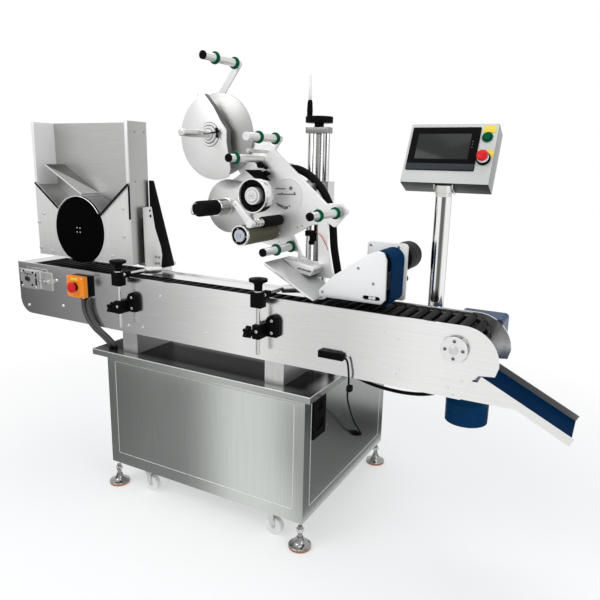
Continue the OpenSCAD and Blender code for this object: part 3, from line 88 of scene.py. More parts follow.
# Shader nodes
class Net:
    """A node tree, with short ways to add and wire its nodes."""

    def __init__(self, owner):
        owner.use_nodes = True
        self.owner, self.tree = owner, owner.node_tree

    def feed(self, node, **inputs):
        """Wires a socket, or sets a value, by the input's name or number."""
        for key, value in inputs.items():
            key = int(key[1:]) if key[0] == "_" else key.replace("_", " ")
            if isinstance(value, bpy.types.NodeSocket):
                self.tree.links.new(value, node.inputs[key])
            else:
                node.inputs[key].default_value = value

    def add(self, kind, operation=None, **inputs):
        node = self.tree.nodes.new("ShaderNode" + kind)
        if operation:
            node.operation = operation
        self.feed(node, **inputs)
        return node

    def place(self):
        return self.add("TexCoord").outputs["Object"]

    def noise(self, scale, detail, stretch=(1, 1, 1)):
        spot = self.add("Mapping", Vector=self.place(), Scale=stretch)
        return self.add("TexNoise", Vector=spot.outputs[0], Scale=scale, Detail=detail).outputs["Fac"]

    def spread(self, source, low, high, a=0.3, b=0.7):
        """Maps a value from a..b to low..high."""
        node = self.add("MapRange", Value=source, From_Min=a, From_Max=b, To_Min=low, To_Max=high)
        return node.outputs["Result"]

    def ramp(self, source, *stops):
        """Colour by (place, colour) stops."""
        node = self.add("ValToRGB", Fac=source)
        marks = node.color_ramp.elements
        for mark, (place, colour) in zip(marks, (stops[0], stops[-1])):
            mark.position, mark.color = place, (*colour, 1)
        for place, colour in stops[1:-1]:
            marks.new(place).color = (*colour, 1)
        return node.outputs["Color"]

    def tones(self, source, colour, darker, lighter):
        dark, light = (tuple(min(1.0, c * k) for c in colour) for k in (darker, lighter))
        return self.ramp(source, (0.3, dark), (0.7, light))


class Paint(Net):
    """A principled material."""

    def __init__(self, name, colour, roughness, metallic=0.0):
        super().__init__(bpy.data.materials.new(name))
        self.owner.diffuse_color = (*colour, 1)
        self.shader = next(n for n in self.tree.nodes if n.type == "BSDF_PRINCIPLED")
        self.set(Base_Color=(*colour, 1), Roughness=roughness, Metallic=metallic)

    def set(self, **inputs):
        self.feed(self.shader, **inputs)

    def finish(self, height, strength, distance):
        """Adds the bump and gives the material."""
        node = self.add("Bump", Height=height, Strength=strength, Distance=distance)
        self.set(Normal=node.outputs["Normal"])
        return self.owner


def grey(shade):
    return (shade, shade, shade)


# Light, floor and world
def add_softbox(name, place, aim, width, height, power):
    data = bpy.data.lights.new(name, "AREA")
    data.shape = "RECTANGLE"
    data.size, data.size_y, data.energy = width, height, power
    lamp = bpy.data.objects.new(name, data)
    bpy.context.scene.collection.objects.link(lamp)
    lamp.location = place
    lamp.rotation_mode = "QUATERNION"
    lamp.rotation_quaternion = (Vector(aim) - Vector(place)).to_track_quat("-Z", "Y")


def add_world():
    """White where it is seen, mirrored or looked at through glass, and a softer blue as a light."""
    world = bpy.data.worlds.new("studio")
    bpy.context.scene.world = world
    net = Net(world)
    net.tree.nodes.clear()
    ray = net.add("LightPath").outputs
    seen = net.add("Math", "MAXIMUM", _0=ray["Is Camera Ray"], _1=ray["Is Glossy Ray"])
    seen = net.add("Math", "MAXIMUM", _0=seen.outputs[0], _1=ray["Is Transmission Ray"])
    room = net.add("Background", Color=(0.93, 0.96, 1.0, 1), Strength=0.55)
    white = net.add("Background", Color=(1, 1, 1, 1), Strength=1.0)
    blend = net.add("MixShader", Fac=seen.outputs[0], _1=room.outputs[0], _2=white.outputs[0])
    net.add("OutputWorld", Surface=blend.outputs[0])


def add_floor():
    """Pale studio floor that keeps the shadow near the machine and fades into the white backdrop."""
    clear_selection()
    bpy.ops.mesh.primitive_plane_add(size=30, location=(0, 0, -0.0005))
    floor = bpy.context.object
    floor.name = "floor"
    net = Paint("pale_floor", (0.60, 0.60, 0.60), 0.7)
    net.set(Specular_IOR_Level=0.0, Emission_Color=(1, 1, 1, 1), Emission_Strength=0.42)
    reach = net.add("VectorMath", "LENGTH", _0=net.place())
    fade = net.spread(reach.outputs["Value"], 0.0, 1.0, 1.0, 2.2)
    blend = net.add("MixShader", Fac=fade, _1=net.shader.outputs[0], _2=net.add("Emission").outputs[0])
    net.feed(next(n for n in net.tree.nodes if n.type == "OUTPUT_MATERIAL"), Surface=blend.outputs[0])
    floor.data.materials.append(net.owner)


def add_card(name, low, high, along, stops):
    """A studio card that only shows in the metal: its shade runs along a direction through the stops."""
    clear_selection()
    size = Vector(high) - Vector(low)
    bpy.ops.mesh.primitive_cube_add(size=1, location=(Vector(high) + Vector(low)) / 2, scale=size)
    card = bpy.context.object
    card.name = name
    bpy.ops.object.transform_apply(location=True, rotation=True, scale=True)
    for sees in ("visible_camera", "visible_diffuse", "visible_shadow", "visible_transmission"):
        setattr(card, sees, False)
    net = Net(bpy.data.materials.new(name))
    net.tree.nodes.clear()
    first, last = stops[0][0], stops[-1][0]
    run = net.add("VectorMath", "DOT_PRODUCT", _0=net.place(), _1=along)
    share = net.spread(run.outputs["Value"], 0.0, 1.0, first, last)
    shades = net.ramp(share, *(((place - first) / (last - first), grey(shade)) for place, shade in stops))
    net.add("OutputMaterial", Surface=net.add("Emission", Color=shades).outputs[0])
    card.data.materials.append(net.owner)


# Materials
def striped(name, dark, light, period, roughness):
    """Polished round steel with bright and dark stripes of painted reflection along its length."""
    net = Paint(name, light, roughness, 1.0)
    across = net.add("VectorMath", "DOT_PRODUCT", _0=net.place(), _1=(6.2832 / period, -3.6 / period, 0))
    wave = net.add("Math", "SINE", _0=across.outputs["Value"])
    # Painted reflection: a sine across the rod sets dark and light base colour in stripes.
    net.set(Base_Color=net.ramp(net.spread(wave.outputs[0], 0.0, 1.0, -1.0, 1.0), (0.12, dark), (0.42, light)))
    return net.finish(net.noise(1500, 2), 0.1, 0.00005)


def shaded_table(name, edge, painted_reflection):
    """Polished table sheet with a painted dark reflection of the conveyor's underside inside its bright border."""
    net = Paint(name, edge, 0.24, 1.0)
    grain = net.noise(260, 3, (0.02, 1, 1))
    split = net.add("SeparateXYZ", _0=net.place()).outputs
    # Painted reflection: a band across the table's depth, inside its sides, takes the dark base colour.
    depth = net.ramp(net.spread(split["Y"], 0.0, 1.0, middle.y - 0.372, middle.y - 0.092),
                     (0, grey(0)), (0.13, grey(1)), (0.62, grey(1)), (1, grey(0)))
    side = net.spread(split["X"], 1.0, 0.0, middle.x + 0.40, middle.x + 0.44)
    inside = net.add("Math", "MULTIPLY", _0=depth, _1=side)
    soft = net.add("Math", "ADD", _0=inside.outputs[0], _1=net.spread(grain, -0.03, 0.03))
    net.set(Base_Color=net.ramp(soft.outputs[0], (0, edge), (1, painted_reflection)), Specular_Tint=(0.5, 0.5, 0.5, 1))
    return net.finish(grain, 0.08, 0.0004)


def brushed(name, colour, roughness, stretch, swing=0.1, lines=0.12):
    """Metal with fine brush lines along the axis whose stretch is small."""
    net = Paint(name, colour, roughness, 1.0)
    grain = net.noise(260, 3, stretch)
    net.set(Base_Color=net.tones(grain, colour, 1 - lines, 1 + lines),
            Roughness=net.spread(net.noise(2.3, 3), roughness - swing, roughness + swing))
    return net.finish(grain, 0.08, 0.0004)


def coated(name, colour, roughness, metallic=0.0, tint=0.06, grain=1500, depth=0.0001, gloss=0.5):
    """Paint, anodised or moulded surface with a fine skin and slow changes of tone."""
    net = Paint(name, colour, roughness, metallic)
    cloud = net.noise(5.0, 4)
    net.set(IOR=1 + gloss, Base_Color=net.tones(cloud, colour, 1 - tint, 1 + tint),
            Roughness=net.spread(cloud, roughness + 0.06, roughness - 0.06))
    return net.finish(net.noise(grain, 2), 0.25, depth)


def spun(name, colour, roughness, centre):
    """Metal turned on a lathe: fine rings round an axis along Y."""
    net = Paint(name, colour, roughness, 1.0)
    shifted = net.add("VectorMath", "SUBTRACT", _0=net.place(), _1=centre)
    split = net.add("SeparateXYZ", _0=shifted.outputs["Vector"]).outputs
    flat = net.add("CombineXYZ", X=split["X"], Z=split["Z"])
    reach = net.add("VectorMath", "LENGTH", _0=flat.outputs[0])
    rings = net.add("TexNoise")
    rings.noise_dimensions = "1D"
    net.feed(rings, Scale=700, Detail=4, W=reach.outputs["Value"])
    net.set(Base_Color=net.tones(rings.outputs["Fac"], colour, 0.9, 1.08))
    return net.finish(rings.outputs["Fac"], 0.12, 0.0004)


def screen_glass(name, colour, roughness):
    """Dark glossy cover of a screen."""
    net = Paint(name, colour, roughness)
    net.set(Roughness=net.spread(net.noise(14, 5), roughness, roughness + 0.12), IOR=1.2, Coat_Weight=0.06,
            Coat_Roughness=0.05)
    return net.owner


# Coated finishes: colour, roughness, then metal, change of tone, grain and depth of the skin, and gloss
COATED = {
    "tube": ((0.66, 0.66, 0.65), 0.36, 0.75, 0.04, 1600, 0.00008),
    "white_cap": ((0.72, 0.72, 0.71), 0.4, 0, 0.03, 900),
    "press_white": ((0.80, 0.81, 0.81), 0.4, 0.2, 0.03),
    "chrome": ((0.30, 0.30, 0.295), 0.14, 1, 0.05, 1500, 0.00004),
    # Painted light: a lighter copy of the hopper's sheet for the left wall's inner face.
    "hopper_lit_side": ((0.80, 0.80, 0.79), 0.4, 0.2, 0.04, 1500, 0.0001, 0.3),
    "column_grey": ((0.26, 0.26, 0.255), 0.35, 0.9),
    # Also painted reflection on the chute's far wall and painted shade on the baffles' right slope.
    "wall_grey": ((0.20, 0.20, 0.20), 0.45, 0.3, 0.1, 1500, 0.0001, 0.2),
    "peel_satin": ((0.52, 0.52, 0.515), 0.42, 0.5, 0.06, 1500, 0.0001, 0.2),
    # Painted light: the reel's front flange is a lighter copy of the rear disc's metal.
    "flange_metal": ((0.65, 0.65, 0.645), 0.4, 0.9),
    "head_white": ((0.80, 0.80, 0.795), 0.42, 0.8, 0.03),
    "screw_steel": ((0.30, 0.30, 0.295), 0.35, 1, 0.1),
    "console_side": ((0.30, 0.31, 0.30), 0.42, 0.6, 0.03, 1500, 0.0002),
    "console_under": ((0.085, 0.09, 0.085), 0.4, 0.8, 0.05, 1500, 0.0002),
    "sheath": ((0.05, 0.053, 0.05), 0.35, 0, 0.15, 900, 0.0003),
    # Painted highlight: a pale finish for strips along edges that catch the light.
    "painted_highlight_line": ((0.86, 0.87, 0.86), 0.3, 0.6, 0.03),
    "white_metal": ((0.74, 0.74, 0.735), 0.4, 0.5, 0.03),
    "blue_steel": ((0.46, 0.49, 0.54), 0.34, 0.7),
    "slot_grey": ((0.13, 0.13, 0.13), 0.5, 0.3, 0.1, 900),
    "slate": ((0.03, 0.036, 0.042), 0.4, 0, 0.08, 1100, 0.0001, 0.2),
    "yellow": ((0.80, 0.60, 0.05), 0.45, 0, 0.05, 900),
    "liner": ((0.0012, 0.018, 0.06), 0.5, 0, 0.12, 900, 0.0002, 0.04),
    "red_wire": ((0.55, 0.05, 0.03), 0.4, 0, 0.05, 900),
    "anodised": ((0.60, 0.60, 0.595), 0.42, 0.95, 0.04, 1400),
    "bright": ((0.62, 0.62, 0.61), 0.2, 1, 0.05, 1800, 0.00005),
    "chain": ((0.05, 0.05, 0.05), 0.4, 1, 0.2, 700, 0.0002),
    "feed_black": ((0.002, 0.002, 0.0022), 0.3, 0, 0.2, 900, 0.0001, 0.03),
    "roller": ((0.004, 0.004, 0.0045), 0.45, 0, 0.2, 600, 0.0002, 0.12),
    "black": ((0.004, 0.004, 0.0045), 0.42, 0, 0.15, 1100, 0.0002, 0.1),
    "black_paint": ((0.004, 0.004, 0.005), 0.36, 0, 0.1, 500, 0.0002, 0.1),
    "rubber": ((0.006, 0.006, 0.0065), 0.6, 0, 0.15, 900, 0.0003, 0.12),
    "grey_rubber": ((0.80, 0.81, 0.79), 0.6, 0, 0.08, 700, 0.0003),
    "orange": ((0.88, 0.25, 0.012), 0.45, 0, 0.05, 900, 0.0002, 0.3),
    "red": ((0.62, 0.008, 0.01), 0.35, 0, 0.06, 900, 0.0001, 0.3),
    "green": ((0.001, 0.085, 0.036), 0.35, 0, 0.06, 900, 0.0001, 0.12),
    "blue": ((0.0005, 0.036, 0.11), 0.25, 0, 0.12, 400, 0.0003, 0.12),
    "navy": ((0.0005, 0.026, 0.085), 0.5, 0, 0.12, 1200, 0.0003, 0.05),
    "olive": ((0.10, 0.096, 0.065), 0.5, 0, 0.12, 900, 0.0003, 0.2),
    "console": ((0.56, 0.57, 0.55), 0.42, 0, 0.03, 1500, 0.0002),
    "foot_orange": ((0.38, 0.12, 0.03), 0.45, 0, 0.12, 700, 0.0003),
}

# Brushed finishes: colour, roughness, stretch of the grain, swing of the roughness and strength of the lines
ALONG, PLATE_ALONG, UPRIGHT, PLATE_UPRIGHT = (0.02, 1, 1), (0.03, 1, 1), (1, 1, 0.02), (1, 1, 0.03)
BRUSHED = {
    # Painted shade: darker copies of the hopper's sheet for its back, its right side and the baffles' tops.
    "hopper_back": ((0.44, 0.44, 0.435), 0.38, PLATE_ALONG, 0.06, 0.05),
    "hopper_deep_shade": ((0.07, 0.07, 0.068), 0.3, PLATE_ALONG, 0.05, 0.05),
    "hopper_half_shade": ((0.30, 0.30, 0.295), 0.3, PLATE_ALONG, 0.05, 0.05),
    "sheet_upright": ((0.60, 0.63, 0.605), 0.18, UPRIGHT, 0.015, 0.03),
    "table_sheet": ((0.46, 0.475, 0.46), 0.22, ALONG, 0.05, 0.06),
    "plate_along": ((0.80, 0.80, 0.795), 0.21, PLATE_ALONG, 0.02, 0.03),
    "plate_upright": ((0.64, 0.64, 0.635), 0.38, PLATE_UPRIGHT, 0.08, 0.05),
}


def make_materials():
    return {
        **{key: coated(key, *look) for key, look in COATED.items()},
        **{key: brushed(key, *look) for key, look in BRUSHED.items()},
        # Painted shade: the reel's rear disc is a darker copy of its front flange's metal.
        "spun_reel": spun("spun_reel", (0.36, 0.36, 0.355), 0.42, (middle.x - 0.0239, 0, 1.3359)),
        "spun_rewind": spun("spun_rewind", (0.56, 0.56, 0.555), 0.4, (middle.x + 0.0159, 0, 1.0991)),
        # Painted reflection stripes on the column's rods and the console's post.
        "rod_chrome": striped("rod_chrome", (0.10, 0.10, 0.10), (0.80, 0.80, 0.79), 0.0105, 0.16),
        "post_steel": striped("post_steel", (0.13, 0.13, 0.13), (0.86, 0.86, 0.85), 0.0265, 0.14),
        # Painted reflection of the conveyor's underside on the table's top.
        "table_shade": shaded_table("table_shade", (0.42, 0.43, 0.42), (0.028, 0.03, 0.028)),
        "screen": screen_glass("screen", (0.024, 0.025, 0.025), 0.14),
    }


# Finish of the CAD nodes that are shown; the others are bright steel
NODES_BY_FINISH = {
    "sheet_upright": "cabinet_frame cabinet_panels", "table_sheet": "table_top",
    "plate_along": "front_side_plate rear_side_plate outlet_chute hopper_baffles",
    "plate_upright": "conveyor_supports hopper_shell hopper_front", "black": "power_inlet",
    "anodised": "shaft_bearings lift_carriage head_drive dancer_arm", "black_paint": "feed_motor",
    "chain": "carrier_chain", "roller": "carrier_rollers", "feed_black": "feed_wheel", "blue": "drive_gearmotor",
    "navy": "press_belt", "post_steel": "console_post",
    "grey_rubber": "caster_wheel_1 caster_wheel_2 caster_wheel_3 caster_wheel_4",
}
NODE_FINISH = {name: key for key, names in NODES_BY_FINISH.items() for name in names.split()}


def dress_nodes():
    for name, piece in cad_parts.items():
        piece.data.materials.clear()
        piece.data.materials.append(finish[NODE_FINISH.get(name, "bright")])


# Modelling: a primitive at its size and place, then shaped. Places are in millimetres
# from the cabinet's middle at floor level, or from the middle of the console's face.
NOWHERE = Matrix.Identity(4)
CABINET = Matrix.Translation((middle.x, middle.y, 0))
CONSOLE = CABINET @ Matrix.Translation((0.746, -0.105, 1.2875)) @ Matrix.Rotation(radians(63.6), 4, "X")
FACING = {
    "X": Matrix(((0, 0, 1, 0), (1, 0, 0, 0), (0, 1, 0, 0), (0, 0, 0, 1))),
    "Y": Matrix(((1, 0, 0, 0), (0, 0, -1, 0), (0, 1, 0, 0), (0, 0, 0, 1))),
    "Z": NOWHERE,
}


def mm(*values):
    return Vector(values) / 1000


def shift(x, y, z):
    return Matrix.Translation(mm(x, y, z))


def toward(along):
    """The turn from upright to a direction."""
    return Z.rotation_difference(Vector(along)).to_matrix().to_4x4()


def clear_selection():
    if bpy.context.object and bpy.context.object.mode != "OBJECT":
        bpy.ops.object.mode_set(mode="OBJECT")
    bpy.ops.object.select_all(action="DESELECT")


def take(piece):
    clear_selection()
    piece.select_set(True)
    bpy.context.view_layer.objects.active = piece


def settle(piece, name, where=CABINET):
    """Puts a piece where it belongs, with its place in its mesh."""
    take(piece)
    piece.name = piece.data.name = name
    piece.matrix_world = where @ piece.matrix_basis
    bpy.ops.object.transform_apply(location=True, rotation=True, scale=True)
    return piece


def smooth(piece, angle=38):
    take(piece)
    bpy.ops.object.shade_smooth_by_angle(angle=radians(angle))
    return piece


def ease(piece, width, steps=2):
    """Rounds the sharp edges by a width in millimetres."""
    take(piece)
    bpy.ops.object.modifier_add(type="BEVEL")
    bevel = piece.modifiers[-1]
    bevel.width = width / 1000
    bevel.segments = steps
    bevel.limit_method = "ANGLE"
    bevel.angle_limit = radians(30)
    bpy.ops.object.modifier_apply(modifier=bevel.name)
    return smooth(piece)


def block(name, low, high, edge=1.2, steps=2, where=CABINET):
    """A box between two corners with eased edges."""
    clear_selection()
    a, b = mm(*low), mm(*high)
    bpy.ops.mesh.primitive_cube_add(size=1, location=(a + b) / 2, scale=b - a)
    piece = settle(bpy.context.object, name, where)
    return ease(piece, edge, steps) if edge else piece


def start_disc(sides, radius, height=0.0):
    clear_selection()
    bpy.ops.mesh.primitive_circle_add(vertices=sides, radius=radius, fill_type="NGON", location=(0, 0, height))
    return bpy.context.object


def extrude(step):
    bpy.ops.mesh.extrude_region_move(TRANSFORM_OT_translate={"value": step})


def leave_edit():
    """Turns all faces outwards and ends the edit."""
    bpy.ops.mesh.select_all(action="SELECT")
    bpy.ops.mesh.normals_make_consistent(inside=False)
    bpy.ops.object.mode_set(mode="OBJECT")


def turned(name, base, along, outline, sides=40, where=CABINET):
    """A disc that grows along an axis through the (distance, radius) pairs of its outline."""
    d, r = outline[0]
    piece = start_disc(sides, r / 1000, d / 1000)
    bpy.ops.object.mode_set(mode="EDIT")
    bpy.ops.mesh.select_all(action="SELECT")
    for far, wide in outline[1:]:
        extrude((0, 0, (far - d) / 1000))
        if wide != r:
            bpy.ops.transform.resize(value=(wide / r, wide / r, 1), center_override=(0, 0, far / 1000))
        d, r = far, wide
    leave_edit()
    return smooth(settle(piece, name, where @ shift(*base) @ toward(along)))


def rod(name, a, b, r, end=0.6, sides=32, where=CABINET):
    """A round bar from a to b with eased ends."""
    run = Vector(b) - Vector(a)
    far = run.length
    outline = [(0, r - end), (end, r), (far - end, r), (far, r - end)]
    return turned(name, a, run, outline, sides, where)


def plate(name, outline, low, high, edge=0.8, facing="Y", where=CABINET):
    """A flat shape: a disc with one corner for each place of the outline, moved there and made thick."""
    piece = start_disc(len(outline), 0.1)
    starts = [v.co.copy() for v in piece.data.vertices]
    bpy.ops.object.mode_set(mode="EDIT")
    bpy.ops.mesh.select_mode(type="VERT")
    for i, (u, v) in enumerate(outline):
        sheet = bmesh.from_edit_mesh(piece.data)
        for vertex in sheet.verts:
            vertex.select_set(vertex.index == i)
        sheet.select_flush_mode()
        bpy.ops.transform.translate(value=mm(u, v, 0) - starts[i])
    bpy.ops.mesh.select_mode(type="FACE")
    bpy.ops.mesh.select_all(action="SELECT")
    extrude((0, 0, (high - low) / 1000))
    leave_edit()
    start = {"X": (low, 0, 0), "Y": (0, high, 0), "Z": (0, 0, low)}[facing]
    settle(piece, name, where @ shift(*start) @ FACING[facing])
    return ease(piece, edge) if edge else piece


def arc(u, v, r, start, end, count=8):
    """Places on a round corner, for a plate's outline."""
    turns = [radians(start + (end - start) * i / count) for i in range(count + 1)]
    return [(u + r * cos(t), v + r * sin(t)) for t in turns]


def capsule(a, b, ra, rb=None, count=10):
    """The outline of a bar with round ends between two places."""
    rb = ra if rb is None else rb
    lean = degrees(atan2(b[1] - a[1], b[0] - a[0]))
    return arc(*a, ra, lean + 90, lean + 270, count) + arc(*b, rb, lean - 90, lean + 90, count)


def rounded_sheet(u0, v0, u1, v1, r, count=5):
    """The outline of a plate with round corners."""
    corners = ((u1 - r, v1 - r), (u0 + r, v1 - r), (u0 + r, v0 + r), (u1 - r, v0 + r))
    return [spot for k, (u, v) in enumerate(corners) for spot in arc(u, v, r, 90 * k, 90 * k + 90, count)]


def cut(piece, *cutters):
    """Takes the cutters out of the piece."""
    for cutter in cutters:
        take(piece)
        bpy.ops.object.modifier_add(type="BOOLEAN")
        taking = piece.modifiers[-1]
        taking.object = cutter
        taking.operation = "DIFFERENCE"
        taking.solver = "EXACT"
        bpy.ops.object.modifier_apply(modifier=taking.name)
        bpy.data.objects.remove(cutter)
    return smooth(piece, 30)


def joined(name, *parts):
    """One piece from several that are fastened together."""
    take(parts[0])
    for part in parts:
        part.select_set(True)
    bpy.ops.object.join()
    parts[0].name = parts[0].data.name = name
    return parts[0]


def again(master, name, move):
    """A copy with its own mesh, moved by a matrix."""
    piece = master.copy()
    piece.data = master.data.copy()
    bpy.context.scene.collection.objects.link(piece)
    return settle(piece, name, move)


def coat(piece, key):
    """Gives a piece its finish."""
    piece.data.materials.clear()
    piece.data.materials.append(finish[key])
    return piece


def dress(piece, key, body="machine_base", *stands_for):
    """Gives a piece its finish, its body and the CAD nodes that it replaces."""
    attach(piece, body)
    if stands_for:
        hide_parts(*stands_for)
    return coat(piece, key)


def add_turned(body, rows, along=FRONT, where=CABINET):
    """Turned pieces on one body, by name, finish, place, outline, sides and the nodes that they replace."""
    for name, key, base, outline, sides, *nodes in rows:
        dress(turned(name, base, along, outline, sides, where), key, body, *nodes)


def paint_faces(name, key, test):
    """Another finish on those faces of a CAD node that pass a test of their middle and normal."""
    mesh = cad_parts[name].data
    mesh.materials.append(finish[key])
    for face in mesh.polygons:
        spot = (face.center - Vector((middle.x, middle.y, 0))) * 1000
        if test(spot, face.normal):
            face.material_index = len(mesh.materials) - 1


def paint_side(piece, key, test):
    """Another finish on those faces of a modelled piece whose normal passes a test."""
    piece.data.materials.append(finish[key])
    for face in piece.data.polygons:
        if test(face.normal):
            face.material_index = len(piece.data.materials) - 1


def socket_screws(name, body, places, along=FRONT, r=5.5, tall=3.5, key="bright"):
    """Cap screws: one is turned with its socket, the others are its copies."""
    outline = [(0, r * 0.96), (0.3, r), (tall - 0.8, r), (tall, r - 0.8), (tall, r * 0.56), (tall * 0.35, r * 0.5)]
    master = turned(name + "_first", (0, 0, 0), UP, outline, 20, NOWHERE)
    copies = [again(master, f"{name}_{i}", CABINET @ shift(*p) @ toward(along)) for i, p in enumerate(places)]
    bpy.data.objects.remove(master)
    return dress(joined(name, *copies), key, body)


def bent_wire(name, places, r, sides=12):
    """A bent rod: a disc pushed along the places, one step after the other."""
    spots = [mm(*p) for p in places]
    steps = [b - a for a, b in zip(spots, spots[1:])]
    wire = start_disc(sides, r / 1000)
    wire.rotation_mode = "QUATERNION"
    wire.rotation_quaternion = Z.rotation_difference(steps[0])
    wire.location = spots[0]
    bpy.ops.object.transform_apply(location=True, rotation=True, scale=True)
    bpy.ops.object.mode_set(mode="EDIT")
    bpy.ops.mesh.select_all(action="SELECT")
    facing = steps[0].normalized()
    for spot, step, ahead in zip(spots[1:], steps, steps[1:] + steps[-1:]):
        extrude(step)
        wanted = (step.normalized() + ahead.normalized()).normalized()
        swing = facing.rotation_difference(wanted)
        ring = bmesh.from_edit_mesh(wire.data)
        for vertex in ring.verts:
            if vertex.select:
                vertex.co = spot + swing @ (vertex.co - spot)
        bmesh.update_edit_mesh(wire.data)
        facing = wanted
    leave_edit()
    return smooth(settle(wire, name), 50)


def curved_route(points, steps=4):
    """Places on a smooth curve through the points."""
    ends = [Vector(p) for p in (points[0], *points, points[-1])]
    places = []
    for a, b, c, d in zip(ends, ends[1:], ends[2:], ends[3:]):
        for i in range(steps):
            t = i / steps
            places.append(b + 0.5 * t * (c - a + t * (2 * a - 5 * b + 4 * c - d + t * (3 * (b - c) + d - a))))
    return places + [ends[-1]]


# Label head. Guide rollers: body, middle, distances of the green rings and finish of the cap
ROLLERS = [("guide_roller_1", (51.9, -175.6, 1560.0), (126, 21), "black"),
    ("guide_roller_2", (204.1, -169.3, 1324.9), (119, 21), "white_cap"),
    ("guide_roller_3", (138.9, -169.3, 1260.8), (152,), "black"),
    ("guide_roller_4", (423.9, -169.3, 1099.1), (135, 17), "black"),
    ("guide_roller_5", (264.1, -169.3, 980.1), (107, 14), "black")]


def build_guide_rollers():
    """Five rollers: one tube, one ring and one cap are turned, the others are copies."""
    tube = turned("tube_first", (0, 0, 0), FRONT, [(0, 11), (0.8, 12.5), (183, 12.5), (184, 11.8)], 40, NOWHERE)
    ring = turned("ring_first", (0, 0, 0), FRONT, [(-8, 12.6), (-7.4, 15.4), (-3.4, 15.8), (-2.6, 18.2), (-1.6, 19),
        (1.6, 19), (2.6, 18.2), (3.4, 15.8), (7.4, 15.4), (8, 12.6)], 40, NOWHERE)
    cap = turned("cap_first", (0, 0, 0), FRONT, [(183.6, 11.4), (184, 12.8), (188.4, 12.8), (189.6, 11.8), (190, 10),
        (190, 4.2), (188.6, 3.6)], 36, NOWHERE)
    for body, place, rings, cap_key in ROLLERS:
        spot = CABINET @ shift(*place)
        dress(again(tube, body + "_tube", spot), "tube", body, body)
        pair = [again(ring, f"{body}_ring_{i}", spot @ shift(0, -d, 0)) for i, d in enumerate(rings)]
        dress(joined(body + "_rings", *pair) if len(pair) > 1 else pair[0], "green", body)
        dress(again(cap, body + "_cap", spot), cap_key, body)
    for master in (tube, ring, cap):
        bpy.data.objects.remove(master)


def build_supply_reel():
    """Rear disc, cut front flange with its folded edge, stepped hub, spindle and clamp lever."""
    x, z = SUPPLY_REEL
    # Painted shade: the rear disc is darker than the front flange.
    dress(turned("reel_rear_disc", (x, REEL_SEAT, z), FRONT, [(0, 136), (0.6, 137), (3.4, 137), (4, 136.2)], 96),
        "spun_reel", "supply_reel", "supply_reel")
    rim = arc(-60, 1452, 17, 50, 175, 8) + arc(-3, 1329.7, 141, 127, 293, 40)
    bend = [(59, 1227.5), (54, 1253.8), (43.5, 1312), (43.5, 1350), (20, 1378.8), (-7.5, 1422.5), (-47, 1466)]
    dress(plate("reel_front_flange", rim + bend, -233, -229, 0.5), "flange_metal", "supply_reel")
    # Painted shade: the folded lip is dark grey for the shadow band between the flange and the rear disc.
    dress(joined("reel_flange_lip",
        *[plate(f"flange_lip_{i}", [a, b, (b[0] - 2.5, b[1] - 0.8), (a[0] - 2.5, a[1] - 0.8)], -230, -207, 0)
        for i, (a, b) in enumerate(zip(bend, bend[1:]))]), "slot_grey", "supply_reel")
    add_turned("supply_reel", rows=(
        ("reel_core", "slot_grey", (x, -181, z), [(0, 36), (1, 38), (46, 38), (48, 37.5)], 56),
        ("reel_hub", "white_metal", (x, -233, z), [(0, 37), (0.6, 37.8), (3, 37.8), (3.6, 37.2), (3.6, 31), (2.6, 30),
            (2.6, 28), (4, 27), (8, 26.5), (8.6, 26), (8.6, 21), (7.4, 20), (7.4, 18.5), (11, 17.5), (11, 13)], 56)))
    # Painted shade: dark rings stand in for the shade in the hub's grooves.
    dress(joined("reel_hub_grooves", *[turned(f"hub_groove_{i}", (x, y, z), FRONT, [(0, r), (deep, r)], 56)
        for i, (y, r, deep) in enumerate(((-229.4, 39.6, 4.4), (-234, 30.9, 2), (-238, 20.9, 2.8)))]), "slot_grey",
        "supply_reel")
    dress(turned("reel_spindle", (x, -240, z), FRONT, [(0, 12), (8, 12.4), (136.5, 12.4), (138.6, 11.6), (140, 9.5)],
        48), "bright", "supply_reel")
    dress(joined("reel_clamp", plate("clamp_tee", capsule((-10, 1340), (13, 1343), 2.2), -246, -241, 0.8),
        plate("clamp_bar", capsule((13, 1354), (16.2, 1326), 3, 2.4), -249, -240, 1.4),
        rod("clamp_stub", (12, -244, 1344), (24, -244, 1345), 2.6)), "black", "supply_reel")


def build_rewind_reel():
    """Disc, drum with its groove, soft grip and the wire handle in front."""
    x, z = REWIND_REEL
    add_turned("rewind_reel", rows=(
        ("rewind_disc", "spun_rewind", (x, REEL_SEAT, z), [(0, 90), (0.6, 91), (3.4, 91), (4, 90.2)], 80,
            "rewind_reel"),
        ("rewind_drum", "plate_along", (x, -181, z), [(0, 29), (22, 29), (22.4, 28), (25, 28), (25.4, 29), (80, 29),
            (81, 28.2), (83, 27.6)], 56)))
    ribs = [(0, 24), (1.5, 25.4)]
    for i in range(19):
        ribs += [(3 + 4.1 * i, 25.5), (5.2 + 4.1 * i, 25.5), (5.6 + 4.1 * i, 24.9), (6.8 + 4.1 * i, 24.9)]
    dress(turned("rewind_grip", (x, -264, z), FRONT, ribs + [(83, 25.5), (88, 24), (91.4, 20.5), (93, 15)], 44),
        "rubber", "rewind_reel")
    dress(bent_wire("rewind_wire", [(x, -345, z + 16), (x, -366, z + 17), (x, -379, z + 15.6), (x, -386, z + 10),
        (x, -387.4, z), (x, -386, z - 10), (x, -379, z - 15.6), (x, -366, z - 17), (x, -345, z - 16)], 1.6),
        "bright", "rewind_reel")


